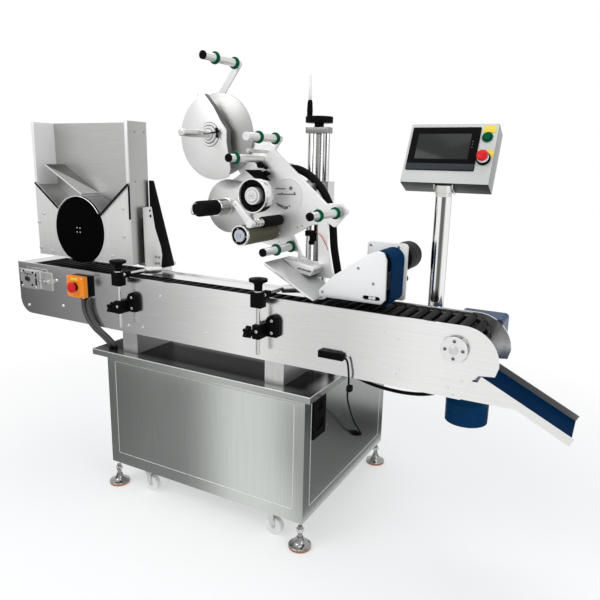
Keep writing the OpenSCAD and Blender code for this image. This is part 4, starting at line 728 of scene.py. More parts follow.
def build_traction_and_pinch():
    """Grooved rubber roller with its end plate, pinch roller, collar and lever."""
    x, z = TRACTION
    grooves = [(4, 30.5), (5, 31.8)]
    for i in range(43):
        grooves += [(8 + 3.9 * i, 31.8), (8.5 + 3.9 * i, 31.3), (9.2 + 3.9 * i, 31.3), (9.7 + 3.9 * i, 31.8)]
    add_turned("traction_roller", rows=(
        ("traction_sleeve", "olive", (x, REEL_SEAT, z), grooves + [(178, 31.6)], 56, "traction_roller"),
        ("traction_rim", "plate_along", (x, -354, z), [(0, 31), (1, 32), (9, 32), (9.8, 31.4), (9.8, 28.6), (9, 28),
            (2, 27.6)], 56),
        ("traction_inner_ring", "black", (x, -356, z), [(0, 27.2), (3, 27), (3, 18)], 48),
        ("traction_hub", "blue_steel", (x, -357, z), [(0, 19), (8, 19), (9, 18), (9, 9.5), (8, 9), (8, 6.4),
            (10.5, 6), (10.5, 3.4), (8.5, 3)], 48)))
    dress(joined("traction_pins", *[rod(f"traction_pin_{i}", (x + 23 * cos(a), -355, z + 23 * sin(a)),
        (x + 23 * cos(a), -361, z + 23 * sin(a)), 2.3) for i, a in enumerate((-0.1, 2.0, 4.1))]), "bright",
        "traction_roller")
    px, pz = PINCH
    dress(turned("pinch_sleeve", (px, REEL_SEAT, pz), FRONT, [(0, 16.5), (1, 17.5), (105, 17.5), (107.4, 16.6),
        (108, 15), (108, 9), (106, 8.6)], 44), "rubber", "pinch_roller", "pinch_roller")
    dress(turned("pinch_collar", (px, -286, pz), FRONT, [(0, 8), (0.5, 9), (4, 9), (4.4, 12.4), (5, 13), (27, 13),
        (27.6, 12.4), (28, 9.6), (34, 9.4), (34.4, 12.4), (35, 13), (44, 13), (44.6, 12)], 40), "bright", "head")
    lever = plate("pinch_lever", capsule((216.7, 1064.7), (164, 1123.8), 11.6, 9.6), -359, -345, 2.2)
    cut(lever, rod("lever_hole", (166, -370, 1121), (166, -351, 1121), 3.6, 0.1))
    dress(lever, "white_metal", "head")
    add_turned("head", rows=(
        ("pinch_boss", "white_metal", (px, -345, pz), [(-6, 12), (14.6, 12.6), (16.4, 11.4), (17, 8)], 40),
        ("lever_pin", "bright", (166, -351, 1121), [(0, 2.4), (8, 3), (9, 2.2)], 20)))


def build_brake_wheel():
    """A cup with a bright rim, a notched black ring inside and a stepped hub."""
    x, z = BRAKE
    dress(turned("brake_cup", (x, -225, z), FRONT, [(0, 54), (1.4, 56), (40.6, 56), (42, 55), (42, 51.4), (41, 50.6),
        (6, 50)], 72), "plate_along", "brake_wheel", "brake_wheel")
    teeth = []
    for k in range(72):
        a = radians(k * 5)
        bite = 44.5 if k % 12 in (2, 3) else 49.6
        teeth.append((x + bite * cos(a), z + bite * sin(a)))
    ring = plate("brake_notch_ring", teeth, -252, -231, 0.6)
    cut(ring, turned("ring_bore", (x, -226, z), FRONT, [(0, 36), (40, 36)], 48))
    dress(ring, "black", "brake_wheel")
    add_turned("brake_wheel", rows=(
        ("brake_inner_pan", "black", (x, -231, z), [(0, 48), (5, 47), (5, 30)], 60),
        ("brake_hub", "white_metal", (x, -231, z), [(0, 28), (34, 28), (35, 27), (35, 22.6), (33, 22), (33, 20.6),
            (38, 19.6), (38.8, 18.6), (38.8, 11.6), (37, 11), (37, 8.4), (39.8, 7.8), (39.8, 5)], 48)))
    # Painted shade: two thin black blocks stand in for the slots in the hub's end.
    dress(joined("brake_hub_marks", block("hub_slot_a", (x - 4.4, -271, z - 1.2), (x - 1, -270.6, z + 1.4), 0),
        block("hub_slot_b", (x + 1, -271, z - 1.2), (x + 4.4, -270.6, z + 1.4), 0)), "black", "brake_wheel")
    dress(turned("brake_neck", (x, -169.5, z), FRONT, [(0, 18), (55, 18)], 36), "bright", "brake_wheel")


def build_peel_plate():
    """Sloping peel blade with a painted highlight on its folded front edge, and the rail that holds it to the head.
    """
    dress(plate("peel_blade_sheet", [(255, 946.5), (428, 849), (430.5, 846), (426.5, 846), (254, 943.5)], -331,
        HEAD_FACE, 0.3), "peel_satin", "head", "peel_plate")
    # Painted highlight along the blade's front edge.
    dress(plate("peel_blade_edge", [(254, 947), (430, 848), (427, 844.6), (255, 936)], -331.4, -329, 0.4),
        "painted_highlight_line", "head")
    dress(plate("peel_rail", [(262, 947), (376, 931), (379, 922), (366, 899), (320, 906), (300, 922)], -232,
        HEAD_FACE, 1.2), "head_white", "head")
    dress(plate("peel_rail_shadow", [(318, 905), (366, 897), (352, 891), (332, 900)], -230, -172, 0.5), "slot_grey",
        "head")
    # Painted shade: the rail's slot is a flat dark grey plate.
    dress(plate("peel_rail_slot", capsule((322, 920), (366, 914), 2.6), -233.4, -231, 0), "slot_grey", "head")
    socket_screws("peel_rail_screws", "head", [(332, -232, 920.2), (350, -232, 917)], r=4, tall=3)
    for i, (a, b) in enumerate(((300, 941), (318, 938.6))):
        dress(turned(f"rail_stud_{i}", (a, -200 + 14 * i, b), UP, [(0, 4.4), (4, 4.4), (5, 3.6)], 6), "bright",
            "head")


def build_head_plate():
    """The cut plate with its round-cornered tab and the window beside the column, and its four arms."""
    tab = arc(431, 1121, 9, 100, 20, 4) + arc(452, 1105, 8, 30, -50, 4) + arc(414, 1061, 8, -60, -140, 4)
    outline = [(11, 1181), (79, 1224), (153, 1306), (166, 1314), (176, 1312), (192, 1287),
        (383, 1125)] + tab + [(390, 1066), (391, 994), (409, 914), (424, 886), (284, 886), (284, 961), (147, 980),
        (108.5, 1067), (52, 1132)]
    sheet = plate("head_sheet", outline, HEAD_FACE, -157, 0)
    cut(sheet, plate("head_window", [(264, 1016), (335, 1056), (355, 1058), (361, 936), (330, 936), (299, 950)], -180,
        -150, 0))
    ease(sheet, 0.8)
    dress(joined("head_plate_sheet", sheet, plate("head_bridge", [(86, 1173.4), (-94, 1385.8), (-26.5, 1442.4),
        (179.7, 1297.3)], -168.8, -157.2, 0.6), *[plate(f"head_arm_{i}", capsule(*ends, r), -168.6, -157.4, 0.6)
        for i, (ends, r) in enumerate((((SUPPLY_REEL, DANCER), 22), (((204.1, 1324.9), (168.5, 1279)), 11),
        ((REWIND_REEL, (86, 1138)), 22), ((SUPPLY_REEL, (86, 1250)), 24)))]), "head_white", "head", "head_plate")
    pins = [rod(f"head_pin_{i}", (x, -168, z), (x, -330, z), 6) for i, (_, (x, _, z), _, _) in enumerate(ROLLERS[1:])]
    pins.append(rod("dancer_pin", (-60.3, -168, 1413), (-60.3, -183, 1413), 7))
    dress(joined("head_pins", *pins), "bright", "head")


def build_head_plate_details():
    """What is fastened to the head plate, and the round pocket beside the brake wheel."""
    dress(plate("edge_sensor_window", [(96, 1224), (151, 1225), (192, 1191), (138, 1195)], -204, -190, 1.0), "black",
        "head")
    dress(joined("edge_sensor_clamps", rod("edge_sensor_stem", (150, -196, 1205), (150, -168.6, 1205), 7),
        turned("edge_sensor_knob", (172, -186, 1214), FRONT, [(0, 5), (0.6, 9), (6, 9.4), (10, 8.6), (11, 6)], 24),
        plate("edge_sensor_arm", capsule((150, 1214), (180, 1214), 5), -190, -182, 1),
        plate("stay_clip_a", capsule((128, 1250), (166, 1232), 5), -186, -176, 1.5),
        turned("stay_clip_b", (146, -178, 1240), FRONT, [(0, 9), (0.6, 10), (14, 10), (15, 9)], 24)), "black",
        "head")
    dress(turned("pocket_rim", (242, HEAD_FACE, 1145), FRONT, [(-0.8, 57), (1.2, 57.4), (1.6, 56.6), (1.6, 54.4),
        (1.2, 53.8), (0.4, 53.6)], 72), "white_metal", "head")
    # Painted shade: the pocket's slots and holes are dark grey marks.
    grooves = []
    for i, (a, b) in enumerate((((198, 1166), (232, 1166)), ((204, 1148), (272, 1150)), ((200, 1118), (236, 1106)),
            ((206, 1112), (236, 1100)))):
        grooves.append(plate(f"pocket_slot_{i}", capsule(a, b, 1.8), -171, -169.4, 0.3))
    for i, (px, pz, r) in enumerate(((254, 1169, 6), (268, 1154, 3), (240, 1106, 5), (250, 1111, 3),
            (221, 1150, 3.4))):
        grooves.append(turned(f"pocket_hole_{i}", (px, -169.4, pz), FRONT, [(0, r), (1.4, r), (1.6, r * 0.8),
            (1.6, r * 0.55)], 20))
    dress(joined("pocket_marks", *grooves), "slot_grey", "head")
    dress(rod("stay_bar", (159.9, -283, 1284.9), (159.9, -168.5, 1284.9), 6), "bright", "head")
    dress(joined("label_sensor", block("label_sensor_body", (303, -158, 1016), (336, -132, 1034), 2),
        block("label_sensor_jaw", (318, -150, 1000), (330, -138, 1018), 1.5), rod("label_sensor_stem",
        (336, -145, 1052), (336, -145, 1000), 4), turned("label_sensor_knob", (323, -146, 1004), DOWN,
        [(0, 4), (3, 4), (3.4, 9), (5, 10), (14, 10), (16, 9), (17, 5)], 24)), "black", "head")
    dress(bent_wire("sensor_lead", [(336, -146, 1026), (346, -158, 1034), (363.8, -173, 1027.5),
        (373.8, -173, 1018.8), (385, -173, 1001.2), (393.8, -173, 987.5), (397.5, -173, 977.5)], 1.2), "red_wire",
        "head")
    socket_screws("head_plate_screws", "head", [(x, HEAD_FACE, z) for x, z in ((98, 1165), (75, 1150), (210, 1018),
        (212, 990), (300, 1050), (282, 1044), (330, 1098), (352, 1110))], r=3.4, tall=1.6)


# Operator's console
def build_console():
    """Housing with its bezel, screen, ribs and neck, all set out on the tilted face."""
    housing = block("console_housing", (-130, -95.5, -67), (130, 95.5, 0), 2.2, 2, CONSOLE)
    dress(housing, "console", "console", "console_box")
    paint_side(housing, "console_side", lambda n: n.x > 0.7)
    paint_side(housing, "console_under", lambda n: n.z < -0.6)
    dress(joined("console_mount", turned("console_neck", (746, -125, 1161), UP, [(0, 21), (1.5, 24.6), (12, 24.6),
        (13, 27), (34, 27)], 48), *[plate(f"console_rib_{i}", [(-95, -8), (-107, -16), (-107, -54), (-95, -62)],
        u - 1.5, u + 1.5, 0.4, "X", CONSOLE) for i, u in enumerate((-27, 27))]), "bright", "console")
    bezel = plate("console_bezel", rounded_sheet(-121, -56, 82, 82, 3), -1, 4.4, 0.9, "Z", CONSOLE)
    cut(bezel, block("bezel_window", (-100.5, -20.7, 3.2), (58.5, 61.6, 8), 0, 0, CONSOLE))
    dress(bezel, "black", "console")
    dress(plate("console_screen", rounded_sheet(-100.2, -20.4, 58.2, 61.3, 0.8), 2.6, 3.7, 0.2, "Z", CONSOLE),
        "screen", "console")
    dress(plate("bezel_strip", rounded_sheet(-120, -55, 81, -35.5, 2.4), 4.2, 5.2, 0.4, "Z", CONSOLE), "slate",
        "console")
    dress(joined("bezel_dots", *[turned(f"bezel_dot_{i}", (65, v, 4.3), UP, [(0, 1.4), (0.4, 1.4), (0.6, 1.1)], 16,
        CONSOLE) for i, v in enumerate((36, 27, 17))]), "slot_grey", "console")
    dress(joined("console_tags", plate("start_tag", rounded_sheet(88, 66, 124, 88, 3), -0.5, 1, 0.3, "Z", CONSOLE),
        plate("stop_tag", rounded_sheet(107, -12, 128, 12, 3), -0.5, 1, 0.3, "Z", CONSOLE)), "yellow", "console")
    dress(turned("start_ring", (103, 51, -0.5), UP, [(0, 14.6), (1, 15.4), (4, 15.4), (5.2, 14.2), (5.2, 12.2),
        (4.4, 11.6), (0.6, 11.4)], 44, CONSOLE), "green", "console")
    dress(turned("start_cap", (103, 51, 4.8), UP, [(0, 10.8), (1.7, 10.8), (2.9, 10), (3.4, 7.5), (3.6, 4)], 40,
        CONSOLE), "green", "start_button", "start_button")
    dress(turned("console_stop_base", (103, -17, -0.5), UP, [(0, 19), (1, 20), (7, 20), (8, 19), (8, 17.8),
        (2, 17.4)], 44, CONSOLE), "black", "console")
    add_turned("console_stop", along=UP, where=CONSOLE, rows=(
        ("console_stop_collar", "white_cap", (103, -17, 9), [(0, 14), (1, 16.5), (8, 16.5), (9, 15.5)], 40),
        ("console_stop_head", "red", (103, -17, 19), [(0, 14), (1, 15.8), (3, 16.4), (7, 16.3), (9.4, 15), (11.2, 12),
            (12.2, 7), (12.5, 3)], 44, "console_stop_button")))


# Stop box on the conveyor
def build_stop_box():
    """Orange cover on a black base, with glands below and the mushroom button in front."""
    cover = block("stop_cover", (-557, -406.4, 750), (-470, -384, 829), 3.4, 3)
    cut(cover, turned("stop_bore", (-513, -384, 790), FRONT, [(0, 11), (30, 11)], 32))
    dress(cover, "orange", "machine_base", "stop_box")
    cover.visible_glossy = False
    base = block("stop_base", (-556.4, -384.6, 750.6), (-470.6, -351.2, 828.4), 2.4, 2)
    glands = [turned(f"gland_{i}", (x, -368, 752), DOWN, [(0, 9), (4, 9), (4.4, 10), (9, 10), (10, 9),
        (13, 8.4), (16, 7)], 20) for i, x in enumerate((-522, -500))]
    dress(joined("stop_base_glands", base, *glands), "black")
    base.visible_glossy = False
    dress(joined("cover_screws", *[turned(f"cover_screw_{i}", (x, -406.2, z), FRONT,
        [(0, 3.6), (0.5, 3.6), (0.8, 3.2)], 18)
        for i, (x, z) in enumerate(((-549, 821), (-478, 821), (-549, 758), (-478, 758)))]), "bright")
    dress(plate("stop_cover_tag", rounded_sheet(-532, 813, -497, 823, 2), -406.9, -406.1, 0.2), "yellow")
    dress(turned("stop_bezel", (-513, -406.2, 790), FRONT, [(0, 15), (0.6, 16), (3, 16), (4, 15), (4, 10.8)], 36),
        "black")
    stem = turned("stop_stem", (-513, -393, 790), FRONT, [(0, 8), (22, 8), (22.4, 12.6), (25, 13)], 32)
    dress(stem, "white_cap", "stop_button")
    head = turned("stop_head", (-513, -417.6, 790), FRONT, [(0, 17), (0.8, 19), (2.6, 20), (6.4, 20), (9, 18.6),
        (11.2, 15), (12.6, 9), (13, 3)], 44)
    dress(head, "red", "stop_button", "stop_box_button")
    head.visible_glossy = stem.visible_glossy = False


# Guide posts in front of the conveyor
def star_knob(name, place, length):
    """A five-lobed knob whose axis runs along X."""
    outline = [((17 + 4 * cos(5 * radians(t))) * cos(radians(t)), (17 + 4 * cos(5 * radians(t))) * sin(radians(t)))
        for t in range(0, 360, 9)]
    x, y, z = place
    knob = plate(name, [(y + u, z + v) for u, v in outline], x, x + length, 2.2, "X")
    neck = turned(name + "_neck", (x + length - 1, y, z), RIGHT, [(0, 12), (6, 10), (12, 10)], 28)
    return joined(name, knob, neck)


def build_guide(side, x):
    """Bracket with its star knob, and the post that slides in it with clamp block and flap."""
    y = -389
    clamp = block(f"{side}_clamp", (x - 14, -405, 716), (x + 14, -352, 762), 4, 3)
    cut(clamp, turned("clamp_bore", (x, y, 700), UP, [(0, 6.9), (90, 6.9)], 32))
    dress(joined(f"{side}_bracket", clamp, plate(f"{side}_lug", arc(x + 20, 728, 8, 180, 270, 4) + arc(x + 50, 728, 8,
        270, 360, 4) + arc(x + 36, 768, 22, 0, 180, 12), -369, -351.2, 2.6), star_knob(f"{side}_knob",
        (x - 44, y - 4, 732), 17)), "black", "machine_base", *(("guide_brackets",) if side == "left" else ()))
    socket_screws(f"{side}_bracket_screws", "machine_base", [(x + 36, -368, 734), (x + 36, -368, 773),
        (x + 3, -404, 742)], r=4.6, tall=2.4, key="white_metal")
    body = f"{side}_guide"
    dress(joined(f"{side}_rods", rod(f"{side}_post_rod", (x, y, 664), (x, y, 862), 6.5, 1),
        rod(f"{side}_cross_rod", (x + 17, y + 4, 856), (x + 17, y + 127, 856), 6.5, 1), turned(f"{side}_post_ring",
        (x, y, 864), UP, [(0, 13), (0.6, 14), (4.4, 14), (5, 13)], 36)), "bright", body, f"guide_post_{side}")
    dress(joined(f"{side}_post_grip", turned(f"{side}_disc_knob", (x, y, 868), UP, [(0, 11), (2, 13), (18, 13),
        (24, 16), (27, 24), (29, 28.4), (31, 29), (36, 29), (38, 28), (38.6, 25), (38.2, 12), (39.6, 10)], 48),
        block(f"{side}_holder", (x - 20, -406, 816), (x + 20, -372, 865), 4, 3),
        block(f"{side}_jaw", (x + 2, -376, 844), (x + 26, -352.6, 866), 3, 2)), "black", body)
    turn = CABINET @ shift(x + 17, -276, 856) @ Matrix.Rotation(radians(35), 4, "Z")
    dress(block(f"{side}_flap", (0, -1.5, -13), (62, 1.5, 13), 0.8, 2, turn), "plate_along", body)


def build_guides():
    """The two bottle guides, one shape at two places."""
    for side, x in (("left", -310), ("right", 270)):
        build_guide(side, x)


# Corners of the press unit's side plates, as shares of their width and height
PRESS_PLATE = [(0.045, 0.129), (0.254, 0.445), (0.737, 0.923), (0.871, 1.0), (0.95, 0.97), (0.991, 0.839),
    (1.0, 0.09), (0.942, 0.0), (0.06, 0.0)]


def build_press_unit():
    """Two cut side plates round the belt pulleys, the motor plate, motor, bracket slide and clamp."""
    places = [(424 + 224 * u, 856 + 155 * v) for u, v in PRESS_PLATE]
    front = plate("press_front_plate", places, -306, -296.4, 1.6)
    back = plate("press_back_plate", places, -187.6, -178.2, 1.6)
    cut(front, plate("press_slot", capsule((584, 871.5), (626, 871.5), 6.5), -310, -290, 0))
    dress(joined("press_plates", front, back, plate("press_motor_plate", rounded_sheet(539, 848, 668, 1022, 12),
        -187.8, -178, 1.4)), "press_white", "press_unit", "press_unit")
    dress(joined("slot_nuts", *[turned(f"slot_nut_{i}", (x, -298, 871.5), FRONT, [(0, 6), (3, 6), (3.6, 5.4)], 6)
        for i, x in enumerate((600, 611))]), "white_metal", "press_unit")
    dress(block("slot_shadow", (575, -296, 862), (634, -293, 881), 0.6), "black", "press_unit")
    # Painted shade: the pulleys are black so that the gap between plate and belt reads as shadow.
    dress(joined("press_pulleys", *[turned(f"press_pulley_{i}", (x, -290, z), BACK, [(0, r), (96, r)], 48)
        for i, (x, z, r) in enumerate(((458.7, 870, 14), (637.9, 873, 17), (624.9, 975, 30.8)))]), "black",
        "press_unit")
    socket_screws("press_front_screws", "press_unit", [(561, -306, 956), (610, -306, 915), (447, -306, 872)], r=4.4,
        tall=1.6, key="screw_steel")
    socket_screws("motor_plate_screws", "press_unit", [(550, -188, 1010), (640, -188, 1010), (641, -188, 860)], r=4.4,
        tall=1.6, key="screw_steel")
    dress(turned("press_motor_shell", (636, -178.4, 975), BACK, [(0, 41), (1, 43.2), (3, 43.6), (40, 43.6),
        (40.6, 42.4), (43, 42.4), (43.6, 43.6), (84, 43.6), (85, 42.4), (88, 42.4), (89, 43.6), (98, 43.2),
        (104, 40), (108, 33), (109.4, 22)], 64), "black_paint", "press_unit")
    dress(joined("press_mount", block("press_slide", (536.4, -178.4, 894.8), (599.6, -169.4, 964.4), 1),
        block("motor_seat", (606, -180, 938), (656, -168, 1012), 4, 3), block("press_clamp_arm", (632, -178, 892),
        (650, -133, 918), 2)), "press_white", "press_unit")
    dress(joined("press_clamp", turned("press_clamp_boss", (641, -132, 905), BACK, [(0, 9), (1, 11), (16, 11),
        (18, 9), (18, 5)], 28), plate("press_clamp_grip", capsule((641, 904), (638, 862), 7, 5), -128, -116, 2.4)),
        "black", "press_unit")


# Hopper and feed wheel
def build_hopper_details():
    """Rubber trims on the slanted edges, flange edges and screws of the hopper."""
    trims = (((-804, 1151.2), (-685, 1061)), ((-323.9, 1161.8), (-464, 1047.4)))
    dress(joined("hopper_trims", *[plate(f"hopper_trim_{i}", capsule(*ends, 4.4), -315, -309.8, 1)
        for i, ends in enumerate(trims)]), "rubber")
    dress(block("hopper_side_seal", (-322.4, -314, 1040), (-319.6, -306, 1166), 0.6), "rubber")
    dress(joined("hopper_edges", block("hopper_left_edge", (-811, -308.4, 1160), (-797, -304, 1378), 0.8),
        block("hopper_right_edge", (-333, -308.4, 1168), (-319.4, -304, 1378), 0.8)), "white_metal")
    socket_screws("hopper_side_screws", "machine_base", [(-320, -271, 1344), (-320, -226, 1344), (-320, -278, 1172.5),
        (-320, -232, 1172.5)], RIGHT, 3.6, 1.2, "screw_steel")
    wing = plate("bracket_wing", [(-262, 856), (-177, 856), (-170, 898), (-176, 930), (-204, 1002), (-219, 1082),
        (-262, 1082)], -304, -301, 0.6, "X")
    cut(wing, *[turned(f"wing_hole_{i}", (-310, y, z), RIGHT, [(0, r), (20, r)], 20)
        for i, (y, z, r) in enumerate(((-228, 1068, 5), (-226, 1048, 6)))])
    dress(wing, "plate_upright")
    # Painted highlight: a bright bead round the rim of the feed opening.
    dress(bent_wire("feed_opening_bead", [(FEED_X + 126.4 * cos(radians(a)), -315.4, FEED_Z + 126.4 * sin(radians(a)))
        for a in range(32, 157, 4)], 1.5, 8), "painted_highlight_line")
    dress(plate("feed_shroud", arc(FEED_X, FEED_Z, 129.6, 16, 80, 14) + arc(FEED_X, FEED_Z, 127.2, 80, 16, 14), -307,
        -218, 0.2), "wall_grey")
    socket_screws("bracket_side_screws", "machine_base", [(-301, -205, 895), (-301, -186, 890), (-301, -205, 870),
        (-301, -190, 868)], RIGHT, 5, 2, "screw_steel")


def build_feed_rim():
    """The feed wheel's polished front disc with its fixing screws."""
    dress(turned("feed_front_disc", (FEED_X, -309.6, FEED_Z), FRONT, [(0, 123.4), (0.8, 124), (2.4, 124),
        (3.8, 122.6), (4, 60), (4.2, 24), (5, 23.4)], 96), "feed_black", "feed_wheel")
    dress(joined("feed_screws", *[turned(f"feed_screw_{i}", (FEED_X + u, -314.2, FEED_Z + v), FRONT,
        [(0, 2.6), (1.2, 2.6), (1.5, 2.2)], 18) for i, (u, v) in enumerate(((-8, 8), (8, 8), (-8, -8), (8, -8)))]),
        "bright", "feed_wheel")


# Lift column, hose and cabinet
def build_column():
    """Base, two chromed rods and the top plate that carry the lift screw."""
    dress(joined("column_plates", plate("column_base", rounded_sheet(195, -75, 361, 25, 10), 560, 580, 1.4, "Z"),
        plate("column_top", rounded_sheet(235, -47, 321, -3, 8), 1348, 1368, 1.6, "Z")), "column_grey",
        "machine_base", "column_stand")
    for i, x in enumerate((249, 307)):
        dress(rod(f"column_rod_{i}", (x, -25, 579), (x, -25, 1349), 11, 0.8, 48), "rod_chrome")


def build_handwheel():
    """Dished wheel with finger notches, its upright grip, the pale spike on it and the lift screw."""
    x, y = LIFT_SCREW
    outline = []
    for k in range(144):
        turn = radians(k * 2.5)
        reach = 46.4 - 2.6 * max(0.0, cos(18 * turn)) ** 2
        outline.append((x + reach * cos(turn), y + reach * sin(turn)))
    rim = plate("handwheel_rim", outline, 1382, 1403, 3.0, "Z")
    cut(rim, turned("handwheel_dish", (x, y, 1392), UP, [(0, 32), (12, 37)], 60))
    dress(joined("handwheel_wheel", rim, turned("handwheel_hub", (x, y, 1368.6), UP, [(0, 15), (1, 16), (30, 16),
        (34, 14), (36, 8)], 40), turned("handwheel_grip", (x - 37, y, 1400), UP, [(0, 8), (3, 9.4), (24, 10),
        (48, 8.6), (56, 7), (58, 4)], 28)), "black", "handwheel", "handwheel")
    dress(turned("handwheel_spike", (x - 37, y, 1456), UP, [(0, 4), (3, 6), (40, 4.6), (80, 2.2), (93, 1.2)], 24),
        "white_metal", "handwheel")
    threads = [(0, 9)]
    for k in range(64):
        threads += [(6 + k * 12.2, 9.6), (12 + k * 12.2, 8.6)]
    dress(turned("lift_screw", (x, y, 568), UP, threads + [(799, 8.6)], 24), "screw_steel", "handwheel")


def build_feet():
    """Levelling feet: resin pad, dished chrome cone with its stem, and nut."""
    pad = turned("foot_pad", (0, 0, 0), UP, [(0, 36), (1.4, 38), (6, 38.6), (7.4, 38)], 48, NOWHERE)
    cone = turned("foot_cone", (0, 0, 7.2), UP, [(0, 38.4), (3.6, 38.6), (5, 37), (6, 34), (8, 29), (12, 22),
        (18, 16), (26, 12.6), (30, 12), (32, 11), (32, 8), (70, 8), (71, 8)], 48, NOWHERE)
    nut = turned("foot_nut", (0, 0, 58), UP, [(0, 13), (1, 14), (11, 14), (12, 13)], 6, NOWHERE)
    places = [(x, y, 0) for x in (-407, 407) for y in (-338, 338)]
    for name, master, key, nodes in (("foot_pads", pad, "foot_orange", ("levelling_feet",)),
            ("foot_cones", cone, "chrome", ()), ("foot_nuts", nut, "bright", ())):
        copies = [again(master, f"{name}_{i}", CABINET @ shift(*p)) for i, p in enumerate(places)]
        bpy.data.objects.remove(master)
        dress(joined(name, *copies), key, "machine_base", *nodes)


def build_sheet_edges():
    """Painted highlights: bright strips on the folded edges round the service panels and along the table's lip."""
    lines = []
    for i, (low, high) in enumerate((((-385, -355.2, 141), (-383.4, -353.8, 513)),
            ((383.4, -355.2, 141), (385, -353.8, 513)), ((-385, -355.2, 511.4), (385, -353.8, 513)),
            ((-385, -355.2, 141), (385, -353.8, 142.6)), ((422, -309, 141), (423.4, -307.4, 513)),
            ((422, 307.4, 141), (423.4, 309, 513)), ((422, -309, 511.4), (423.4, 309, 513)),
            ((422, -309, 141), (423.4, 309, 142.6)), ((-459, -391, 557.6), (458, -388.6, 560.4)),
            ((456.6, -390, 557.6), (459, 390, 560.4)))):
        lines.append(block(f"edge_{i}", low, high, 0))
    dress(joined("sheet_edges", *lines), "painted_highlight_line")


def build_motor_shell():
    """Smooth blue cowl of the drive motor with its cap band."""
    dress(turned("motor_cowl", (863.2, -103.7, 475.4), UP, [(0, 50), (2, 58), (6, 63), (12, 65.4), (60, 65.6),
        (61, 66), (70, 66), (71, 65.4), (230, 65.4)], 64), "blue")


def build_brackets():
    """Shelf, stays and gusset behind the hopper, the press bracket and the two post clamps."""
    dress(joined("hopper_stays", block("stay_shelf", (-422, -169, 846), (-314, -76, 858), 1),
        block("shelf_leg", (-392, -139, 560), (-332, -79, 846), 2), plate("hopper_stay", [(-236, 858), (-236, 1075),
        (-212, 1075), (-109, 882), (-109, 858)], -320, -316, 0.6, "X"), block("left_stay", (-690, -169, 776),
        (-654, -163, 935), 0.8), block("left_stay_foot", (-690, -212, 895), (-654, -163, 935), 0.8)),
        "plate_upright", "machine_base", "support_brackets")
    dress(plate("hopper_gusset", [(-217, 846), (-217, 1176), (-196, 1175), (-97, 860), (-97, 846)], -312.6, -306, 0.8,
        "X"), "black_paint")
    post = block("press_bracket", (535, -169, 695), (601, -153, 1001), 1.6)
    clamps = []
    for i, low in enumerate((686, 793)):
        clamp = block(f"post_clamp_{i}", (710, -169, low), (782, -89, low + 30), 2)
        cut(clamp, block(f"post_bore_{i}", (721, -150, low - 5), (771, -100, low + 40), 4))
        clamps.append(clamp)
    dress(joined("press_and_post_brackets", post, *clamps), "white_metal")


def build_cables():
    """Two sheathed conduits under the stop box and the sensor's lead with its clip and plug."""
    middle_line = [(-504, -368, 739), (-504, -368, 705), (-491, -367, 668), (-461, -364, 632), (-422, -354, 598),
        (-405, -341, 570), (-414, -330, 560.4)]
    dress(joined("conduits",
        *[bent_wire(f"conduit_{i}", curved_route([(a + 8.2 * s, b + 3 * s, c) for a, b, c in middle_line]), 8.2, 16)
        for i, s in enumerate((-1, 1))]), "sheath", "machine_base", "control_cables")
    dress(joined("sensor_cable", bent_wire("sensor_cable",
        curved_route([(549, -364, 694), (560, -364, 694), (567, -364, 672), (570, -362, 625), (545, -310, 560),
        (495, -180, 470), (465, -60, 360), (458, 20, 285), (450, 58, 255), (436, 60, 252)]), 3, 12),
        block("cable_clip", (556, -350, 586), (572, -330, 606), 4, 3), turned("cable_plug", (446, 60, 254), LEFT,
        [(0, 7), (2, 8), (18, 8), (20, 10), (23.4, 10)], 24)), "rubber")


def build_rear_ledge():
    """The bright ledge over the rear half of the roller bed, and the amplifier's slim case."""
    dress(block("rear_ledge", (-330, -262, 835.1), (424, -178, 835.8), 0), "plate_along")
    dress(joined("amplifier", block("amplifier_case", (466, -365, 684), (548, -351.2, 706), 2),
        block("amplifier_lid", (470, -367, 690), (536, -358, 707.6), 1.4)), "black", "machine_base",
        "sensor_amplifier")


def build_motor_cable():
    """The black cable from the cabinet's side to the drive motor."""
    route = [(423, -60, 538), (450, -70, 536), (490, -84, 531), (540, -96, 525), (600, -104, 522), (660, -110, 524),
        (720, -112, 532), (770, -110, 548), (800, -106, 570)]
    dress(bent_wire("motor_cable", curved_route(route), 6, 14), "rubber")


def build_hose():
    """The sheathed hose that leaves the lift carriage and goes down behind the press unit."""
    route = [(x, -100, z) for x, z in (
        (200.4, 1230), (225, 1231), (252, 1226), (290, 1207), (325, 1176), (352, 1138), (370, 1095), (378, 1040),
        (384, 980), (396, 920), (408, 860), (408, 780), (398, 680), (390, 610), (390, 560.6))]
    hose = coat(bent_wire("head_hose_sheath", curved_route(route), 13, 20), "rubber")
    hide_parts("head_hose")
    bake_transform(hose)


